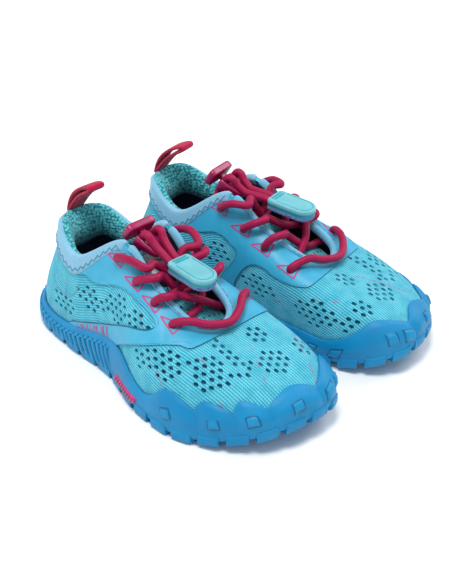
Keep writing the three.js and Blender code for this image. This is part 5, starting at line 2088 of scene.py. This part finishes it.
@dataclass
class Lacing:
    """The elastic lace, its lock and the two tails with their pull tab."""

    bench: Bench
    tongue: Tongue
    lock_at: tuple[float, float, float]
    tab_at: tuple[float, float, float]
    crossings: tuple[float, float, float]
    radius: float = 2.0
    clear: float = 2.3
    over_flap: float = 4.3
    under_flap: float = -4.8
    leaves_edge: tuple[float, float, float] = (0.85, 0.6, 0.45)
    lock_length: float = 21.0
    cap_thickness: float = 4.2
    cap_width: float = 16.8
    press: float = 2.2
    rear_width: float = 15.4
    front_width: float = 9.6
    rear_depth: float = 8.6
    front_depth: float = 3.8
    dish: float = 1.5
    hole_at: float = 8.8
    hole_spacing: float = 8.0
    slope_deg: float = 32.0
    spring_span: tuple[float, float] = (13.2, 17.0)
    spring_turns: float = 3.0
    spring_radius: float = 1.7
    spring_depth: float = -4.45
    bore_end: float = 17.6
    wire_radius: float = 0.3
    tail_spacing: float = 4.3
    tab_fall_deg: float = 5.0
    tab_length: float = 24.5
    tab_width: float = 13.6

    def frame(self, points: Array, origin: tuple[float, float, float], slope_deg: float) -> Array:
        """Points given along, across and out of a sloping part, in the drawing frame.

        Args:
            points: one point per row.
            origin: where the part's own frame starts.
            slope_deg: how far it falls towards the toes.

        Returns:
            The points, one per row.
        """
        points = np.atleast_2d(np.asarray(points, float))
        slope = math.radians(slope_deg)
        a = np.array([math.cos(slope), 0, -math.sin(slope)])
        c = np.array([math.sin(slope), 0, math.cos(slope)])
        b = np.array([0.0, 1.0, 0.0])
        return np.array(origin) + points[..., :1] * a + points[..., 1:2] * b + points[..., 2:3] * c

    def in_lock(self, points: Array) -> Array:
        """Points of the lock's own frame in the drawing frame."""
        return self.frame(points, self.lock_at, self.slope_deg)

    def in_tab(self, points: Array) -> Array:
        """Points of the tab's own frame in the drawing frame."""
        return self.frame(points, self.tab_at, self.tab_fall_deg)

    def depth(self, a: float) -> float:
        """Depth of the lock's wedge at a distance from its rear."""
        share = (a - self.cap_thickness) / (self.lock_length - self.cap_thickness)
        return self.rear_depth + (self.front_depth - self.rear_depth) * share

    def off(self, u: float, v: float, distance: float) -> Array:
        """One point that stands off the skin."""
        return LAST.off(np.array([u]), np.array([v]), np.array([distance]))[0]

    def crossing(self, x: float, upper: bool) -> list[Array]:
        """Where the lace crosses its partner over the tongue."""
        z = float(self.tongue.crown_at(np.array(x))) + self.clear + 0.5
        return [np.array([x, 0, z + (2 * self.radius + 0.3 if upper else 0)])]

    def eyelet(self, side: str, row: int, came_from: float | None, goes_to: float | None) -> list[Array]:
        """The lace's points from a crossing, under the flap and out through an eyelet.

        Args:
            side: lateral or medial.
            row: which eyelet, from the top.
            came_from: x of the crossing before, if any.
            goes_to: x of the crossing after, if any.

        Returns:
            The points in order.
        """
        u, v = EYELETS[side][row]
        centre = self.off(u, v, 0.0)
        normal = LAST.normal(np.array([u]), np.array([v]))[0]
        bulge = 1.6 if side == "medial" else 0.0

        def nearer(x: float, share: float) -> float:
            """Station on the edge part of the way to another x."""
            return LAST.edge_station(side == "lateral", centre[0] + (x - centre[0]) * share)

        if came_from is None:
            start = self.off(u, v, -6.0)
            path = [start + (np.array([centre[0], 0, centre[2]]) - start) * 0.12]
        else:
            path = [self.off(nearer(came_from, 0.35), 0.985, self.under_flap - 0.7)]
        path += [centre + normal * d for d in (-3.6, -0.8, 2.0)]
        if goes_to is None:
            return path
        leave = nearer(goes_to, self.leaves_edge[row])
        up = unit(LAST.tangents(np.array([leave]), np.array([0.999]))[1])[0]
        return path + [
            self.off((u + leave) / 2, v + (1 - v) * 0.45, self.over_flap + 0.8 + bulge),
            self.off(leave, 0.999, self.over_flap + 1.3 + bulge),
            self.off(leave, 0.999, 1.4) + up * (self.clear + 2.1),
        ]

    def riser(self, sign: int) -> list[Array]:
        """The lace's end inside the back of the lock.

        Args:
            sign: -1 on the little-toe side, 1 on the other.

        Returns:
            The points from the lock down.
        """
        back, half = -(self.depth(self.hole_at) + 0.3), self.hole_spacing / 2
        return list(self.in_lock([
            (self.hole_at, sign * half, back + 2.0), (self.hole_at, sign * half, back - 1.4),
            (self.hole_at + 0.8, sign * (half + 0.8), back - 3.4),
            (self.hole_at + 2, sign * (half + 3.4), back - 4.4),
        ]))

    def lace(self) -> None:
        """The lace over the tongue, and its two ends that reach up into the lock."""
        x = self.crossings
        out = [
            *self.eyelet("lateral", 0, None, x[0]), *self.crossing(x[0], True),
            *self.eyelet("medial", 1, x[0], x[1]), *self.crossing(x[1], True),
            *self.eyelet("lateral", 2, x[1], x[2]), *self.crossing(x[2], True),
            *self.eyelet("medial", 3, x[2], None),
        ]
        bar = [self.off(u, v, self.over_flap + 0.9)
               for u, v in ((8.4, 0.88), (7.8, 0.93), (7.0, 0.94), (6.2, 0.94), (5.7, 0.92))]
        home = [
            *self.eyelet("medial", 0, None, x[0]), *self.crossing(x[0], False),
            *self.eyelet("lateral", 1, x[0], x[1]), *self.crossing(x[1], False),
            *self.eyelet("medial", 2, x[1], x[2]), *self.crossing(x[2], False),
            *self.eyelet("lateral", 3, x[2], None),
        ]
        whole = smooth_path(np.array([*self.riser(-1), *out, *bar, *home[::-1], *self.riser(1)[::-1]]), 0.8)
        # The ends are cut off inside the first eyelets, where the cut can't be seen.
        first, last = sorted(
            int(np.linalg.norm(whole - point, axis=1).argmin()) for point in (out[2], home[2])
        )
        bench = self.bench
        main = sweep(whole[first : last + 1], self.radius, sides=14)
        bench.piece("elastic_lacing", main, Finish.CORD, "shoes", ("elastic_lace",), "cord")
        for label, part in (("lateral", whole[: first + 1]), ("medial", whole[last:][::-1])):
            rod = sweep(part, self.radius, sides=14)
            end = bench.piece(f"lace_riser_{label}", rod, Finish.CORD, "", (), "cord")
            start, finish = bench.place.to_row(part[-1]), bench.place.to_row(part[0])
            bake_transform(end)

    def tail_path(self, sign: int) -> Array:
        """The middle of one free end: through the lock, over its hollow and on to the tab.

        Args:
            sign: -1 on the little-toe side, 1 on the other.

        Returns:
            The points from the lock to the tab.
        """
        half, lie = self.hole_spacing / 2, self.clear - self.dish
        in_lock = self.in_lock([
            (self.hole_at, sign * half, 0.1 - self.depth(self.hole_at)),
            (self.hole_at, sign * half, -4.5), (self.hole_at, sign * half, -1.5),
            (self.hole_at + 0.6, sign * half, lie + 0.9), (self.hole_at + 2.6, sign * half, lie + 1.7),
            (self.hole_at + 5.5, sign * (half - 0.6), lie + 0.7),
            (self.hole_at + 9.5, sign * (half - 1.1), lie + 0.1),
            (self.lock_length - 0.5, sign * (half - 1.4), lie + 0.2),
        ])
        aside = sign * self.tail_spacing / 2
        at_tab = self.in_tab([(-3, aside, 0.2), (-0.3, aside, 0.0), (3.2, aside, 0.0)])
        return smooth_path(np.vstack([in_lock, at_tab]), 0.8)

    def plate(self, low: float, high: float, rounds: tuple[float, float], inset: float = 0.0,
              rear: float = 0.0) -> Shell:
        """A flat piece of the tab's outline, with rounded edges.

        Args:
            low: height of its underside.
            high: height of its upper side.
            rounds: radius of its lower and upper edge.
            inset: how much narrower it is all round.
            rear: where it starts.

        Returns:
            The plate.
        """
        half, corner_r = self.tab_width / 2, 2.2
        loop = []
        front = self.tab_length - half
        for degrees in np.linspace(-90, 90, 33):
            a = math.radians(degrees)
            loop.append((front + half * math.cos(a), half * math.sin(a), math.cos(a), math.sin(a)))
        for centre_b, start in ((half - corner_r, 90), (corner_r - half, 180)):
            for degrees in np.linspace(start, start + 90, 8):
                a = math.radians(degrees)
                at = (rear + corner_r * (1 + math.cos(a)), centre_b + corner_r * math.sin(a))
                loop.append((*at, math.cos(a), math.sin(a)))
        loop = np.array(loop)
        rows, steps = [], []
        for degrees in (0, 30, 60, 90):
            a = math.radians(degrees)
            steps.append((rounds[0] * (1 - math.sin(a)), low + rounds[0] * (1 - math.cos(a))))
        for degrees in (90, 60, 30, 0):
            a = math.radians(degrees)
            steps.append((rounds[1] * (1 - math.sin(a)), high - rounds[1] * (1 - math.cos(a))))
        for cut_in, c in steps:
            flat = loop[:, :2] - loop[:, 2:] * (inset + cut_in)
            rows.append(self.in_tab(np.concatenate([flat, np.full((len(flat), 1), c)], axis=1)))
        return grid_shell(np.stack(rows))

    def tab(self) -> list[bpy.types.Object]:
        """The pull tab: a soft cast cover over a darker core, with a fleece underside.

        Returns:
            The four pieces: cover, core, fleece and stitches.
        """
        bench = self.bench
        top, middle, under = [
            self.plate(0.9, 3.2, (0.3, 0.9)),
            self.plate(-1.3, 1.1, (0.4, 0.4), 0.5),
            self.plate(-2.9, -1.0, (0.9, 0.3), 0.2),
        ]
        cover = bench.piece("tab_top", top, Finish.TAB, "tab", ("tab_cover",), "tab")
        core = bench.piece("tab_core", middle, Finish.TAB_EDGE, "tab", (), "tab")
        nap = bench.piece("tab_fleece", under, Finish.FLEECE, "tab", ("tab_backing",), "fleece")
        half, front = self.tab_width / 2 - 1.7, self.tab_length - self.tab_width / 2
        line = [(front + half * math.cos(t), half * math.sin(t), 3.2) for t in np.linspace(-1.57, 1.57, 24)]
        line = [(5.5, -half, 3.2), *line, (5.5, half, 3.2)]
        rim = [sweep(self.in_tab(smooth_path(np.array(line), 0.6)), 0.24, sides=6)]
        for a in (1.9, 3.6):
            bar = smooth_path(np.array([(a, -3.8, 3.25), (a + 0.1, 0, 3.3), (a, 3.8, 3.25)]), 0.5)
            rim.append(sweep(self.in_tab(bar), 0.5, sides=8))
        stitches = bench.piece("tab_stitches", join_all(rim), Finish.TAB_EDGE, "tab", (), "tab")
        return [cover, core, nap, stitches]

    def tails(self) -> None:
        """The two free ends as cords that end in the tab."""
        bench, name = self.bench, self.bench.place.side.value
        fittings = self.tab()
        for sign, label in ((-1, "lateral"), (1, "medial")):
            path = self.tail_path(sign)
            rod = sweep(path, self.radius, sides=14)
            cord = bench.piece(f"tail_{label}", rod, Finish.CORD, "", (f"lace_tail_{label}",), "cord")
            row = bench.place.to_row(path)
            float(walked(row)[-1])
            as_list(fittings[:2] if sign < 0 else fittings[2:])
            tip = bench.place.to_row(self.in_lock([(self.lock_length, 0, 0)])[0])
            start = bench.place.to_row(self.in_tab([(0, 0, 0)])[0])
            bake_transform(cord)

    def bar(self, sections: list[tuple[float, float, float, float]], roundness: float = 4.5) -> Shell:
        """A rounded body along the lock.

        Args:
            sections: for each, its place along the lock, half width, top and bottom.
            roundness: exponent of its rounded-square section; more is squarer.

        Returns:
            The closed body.
        """
        line = smooth_path(np.array(sections, float), 0.35)
        angle = 2 * np.pi * (np.arange(48) + 0.5) / 48
        cos, sin = np.cos(angle), np.sin(angle)
        wide = np.sign(cos) * np.abs(cos) ** (2 / roundness)
        tall = np.sign(sin) * np.abs(sin) ** (2 / roundness)
        rows = []
        for a, half, top, bottom in line:
            middle, deep = (top + bottom) / 2, (top - bottom) / 2
            loop = np.stack([np.full(48, a), half * wide, middle + deep * tall], axis=1)
            rows.append(self.in_lock(loop))
        return grid_shell(np.stack(rows))

    def lock(self) -> None:
        """The lock: a wedge-shaped barrel with a hollow for the cords, and its push button."""
        bench = self.bench
        wide, back = self.cap_width / 2, -(self.rear_depth + 0.6)
        cap = self.bar([
            (0.0, wide - 1.3, -0.9, back + 0.9), (0.15, wide - 0.7, -0.4, back + 0.4),
            (0.5, wide - 0.2, 0.0, back + 0.1), (1.2, wide, 0.1, back), (2.6, wide, 0.1, back),
            (3.6, wide - 0.2, 0.0, back + 0.1), (4.0, wide - 0.7, -0.4, back + 0.4),
            (self.cap_thickness, wide - 1.3, -0.9, back + 0.9),
        ], 7)
        stem = self.bar([
            (self.cap_thickness - 1, 1.7, -3.0, -6.2), (8.0, 1.7, -3.0, -6.2), (12.4, 1.6, -3.1, -6.1),
        ])
        button = cap.joined(stem)
        bench.piece("lock_push_button", button, Finish.LOCK, "button", ("lock_button",), "lock", 45)
        start = self.cap_thickness + self.press + 0.3
        rear, front, end = self.rear_width / 2, self.front_width / 2, self.lock_length
        barrel = self.bar([
            (start, rear - 1.6, -1.3, 1.3 - self.depth(start)),
            (start + 0.3, rear - 0.7, -0.5, 0.5 - self.depth(start)),
            (start + 1.0, rear - 0.1, 0.0, -self.depth(start + 1)),
            (self.hole_at, rear, 0.1, -self.depth(self.hole_at)),
            (12.0, rear - 0.5, 0.0, -self.depth(12)), (15.5, front + 1.3, 0.0, -self.depth(15.5)),
            (end - 2, front, -0.1, -self.depth(end - 2)),
            (end - 0.6, front - 0.8, -0.4, 0.4 - self.depth(end)),
            (end, front - 2.0, -1.2, 1.2 - self.depth(end)),
        ])
        angle = 2 * np.pi * (np.arange(28) + 0.5) / 28
        tools = []
        for sign in (-1, 1):
            rows = []
            for c, r in ((-11.0, 2.3), (-2.2, 2.3), (-1.2, 2.35), (0.0, 2.9), (2.0, 3.6)):
                a, b = self.hole_at + r * np.cos(angle), sign * self.hole_spacing / 2 + r * np.sin(angle)
                rows.append(self.in_lock(np.stack([a, b, np.full(28, c)], axis=1)))
            tools.append(grid_shell(np.stack(rows)))
        reach = self.hole_spacing / 2 + self.clear
        dish = self.bar([
            (self.hole_at - 1.8, reach - 2.6, 1.5, -0.4), (self.hole_at - 0.4, reach - 0.6, 2.2, -1.2),
            (self.hole_at + 3.0, reach, 2.4, -self.dish), (end - 5, reach - 1.2, 2.4, -self.dish),
            (end + 2, reach - 2.4, 2.4, -1.2),
        ], 2.6)
        bore = self.bar([(a, 2.6, -2.3, -6.6) for a in (start - 2, 12.0, self.bore_end)], 6)
        for tool in (*tools, dish, bore):
            barrel = bench.cut(barrel, tool)
        bench.piece("lock_barrel", barrel, Finish.LOCK, "lock", ("lock_housing",), "lock", 40)
        self.spring()

    def spring(self) -> None:
        """The coil spring behind the button."""
        bench, side = self.bench, self.bench.place.side.value
        turn = np.linspace(0, 2 * np.pi * self.spring_turns, 110)
        a, radius, depth = np.linspace(*self.spring_span, 110), self.spring_radius, self.spring_depth
        path = self.in_lock(np.stack([a, radius * np.cos(turn), depth + radius * np.sin(turn)], axis=1))
        coil = sweep(path, self.wire_radius, sides=8)
        piece = bench.piece("lock_coil", coil, Finish.STEEL, "lock", ("lock_spring",), "spring")
        ends = self.in_lock([(self.spring_span[0], 0, depth), (self.bore_end, 0, depth)])
        rear, front = bench.place.to_row(ends)
        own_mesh(piece)


# ---- Studio ---------------------------------------------------------------------------------


@dataclass
class Studio:
    """Camera, soft lights and the pale floor."""

    azimuth_deg: float = 40.13
    elevation_deg: float = 30.69
    distance_mm: float = 632.8
    lens_mm: float = 77.4
    aim_mm: tuple[float, float, float] = (86.32, 37.77, 25.0)
    floor_size: float = 8.0

    def camera(self) -> None:
        """Places the camera."""
        az, el = math.radians(self.azimuth_deg), math.radians(self.elevation_deg)
        back = Vector((math.sin(az) * math.cos(el), -math.cos(az) * math.cos(el), math.sin(el)))
        aim = Vector(PLACES[0].to_row(np.array(self.aim_mm)))
        data = bpy.data.cameras.new("studio_camera")
        data.lens = self.lens_mm
        data.sensor_width = 36.0
        data.clip_start = 0.01
        camera = bpy.data.objects.new("studio_camera", data)
        camera.location = aim + back * self.distance_mm * MM
        camera.rotation_euler = back.to_track_quat("Z", "Y").to_euler()
        bpy.context.scene.collection.objects.link(camera)
        bpy.context.scene.camera = camera

    def light(self, name: str, place: tuple[float, float, float], size: float, power: float) -> None:
        """Adds one soft area light that looks at the shoes.

        Args:
            name: its name.
            place: where it stands, in metres.
            size: its diameter in metres.
            power: its power in watts.
        """
        data = bpy.data.lights.new(name, "AREA")
        data.shape = "DISK"
        data.size = size
        data.energy = power
        lamp = bpy.data.objects.new(name, data)
        lamp.location = place
        lamp.rotation_euler = (Vector(place) - Vector((0, 0, 0.03))).to_track_quat("Z", "Y").to_euler()
        bpy.context.scene.collection.objects.link(lamp)

    def build(self) -> None:
        """Places the lights, the sky and the floor."""
        self.light("key_softbox", (0.15, -0.35, 1.35), 0.5, 12.5)
        self.light("fill_softbox", (-1.1, -0.7, 0.6), 1.0, 3.5)
        self.light("rim_softbox", (0.3, 1.1, 1.0), 0.8, 8)
        world = bpy.data.worlds.new("studio_sky")
        world.use_nodes = True
        world.node_tree.nodes["Background"].inputs["Color"].default_value = linear("#f4f6f8")
        world.node_tree.nodes["Background"].inputs["Strength"].default_value = 0.6
        bpy.context.scene.world = world
        bpy.context.scene.view_settings.view_transform = "Standard"
        half = self.floor_size / 2
        mesh = bpy.data.meshes.new("studio_floor")
        corners = [(-half, -half, 0), (half, -half, 0), (half, half, 0), (-half, half, 0)]
        mesh.from_pydata(corners, [], [(0, 1, 2, 3)])
        graph = Graph("matt_paper_floor")
        cloud = graph.add("TexNoise", graph.add("TexCoord", out="Object"), 0, 1 / (400 * MM), 2)
        papers = {6: linear("#fbfbfb"), 7: linear("#f6f7f8")}
        paper = graph.add("Mix", cloud, more=papers, out=2, data_type="RGBA")
        graph.dress(Base_Color=paper, Roughness=0.9)
        graph.shader.inputs["Specular IOR Level"].default_value = 0.2
        mesh.materials.append(graph.material)
        floor = bpy.data.objects.new("studio_floor", mesh)
        bpy.context.scene.collection.objects.link(floor)


# For each shoe: the rear ends of the lock and of the tab, and where the lace crosses itself.
LACING = {
    Side.RIGHT: ((66, 0, 72.5), (92, 0, 59), (88, 96, 107)),
    Side.LEFT: ((54, 0, 73), (87, 0, 62), (82, 94, 107)),
}


def main() -> None:
    """Builds the pair."""
    logging.basicConfig(level=logging.INFO, format="%(name)s: %(message)s")
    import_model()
    studio = Studio()
    studio.camera()
    benches = [Bench(place) for place in PLACES]
    lacings = []
    for bench in benches:
        lacing = Lacing(bench, Tongue(bench), *LACING[bench.place.side])
        lacing.tails()
        lacings.append(lacing)
    for bench, lacing in zip(benches, lacings):
        Outsole(bench).make()
        KnitUpper(bench).make()
        Collar(bench).make()
        ThroatTape(bench).make()
        lacing.tongue.make()
        Insole(bench).make()
        lacing.lace()
        lacing.lock()
        board = bpy.data.objects[f"{bench.place.side.value}_strobel_board"]
        for slot in board.material_slots:
            slot.material = Finish.BOARD.get()
    studio.build()
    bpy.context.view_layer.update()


if __name__ == "__main__":
    main()
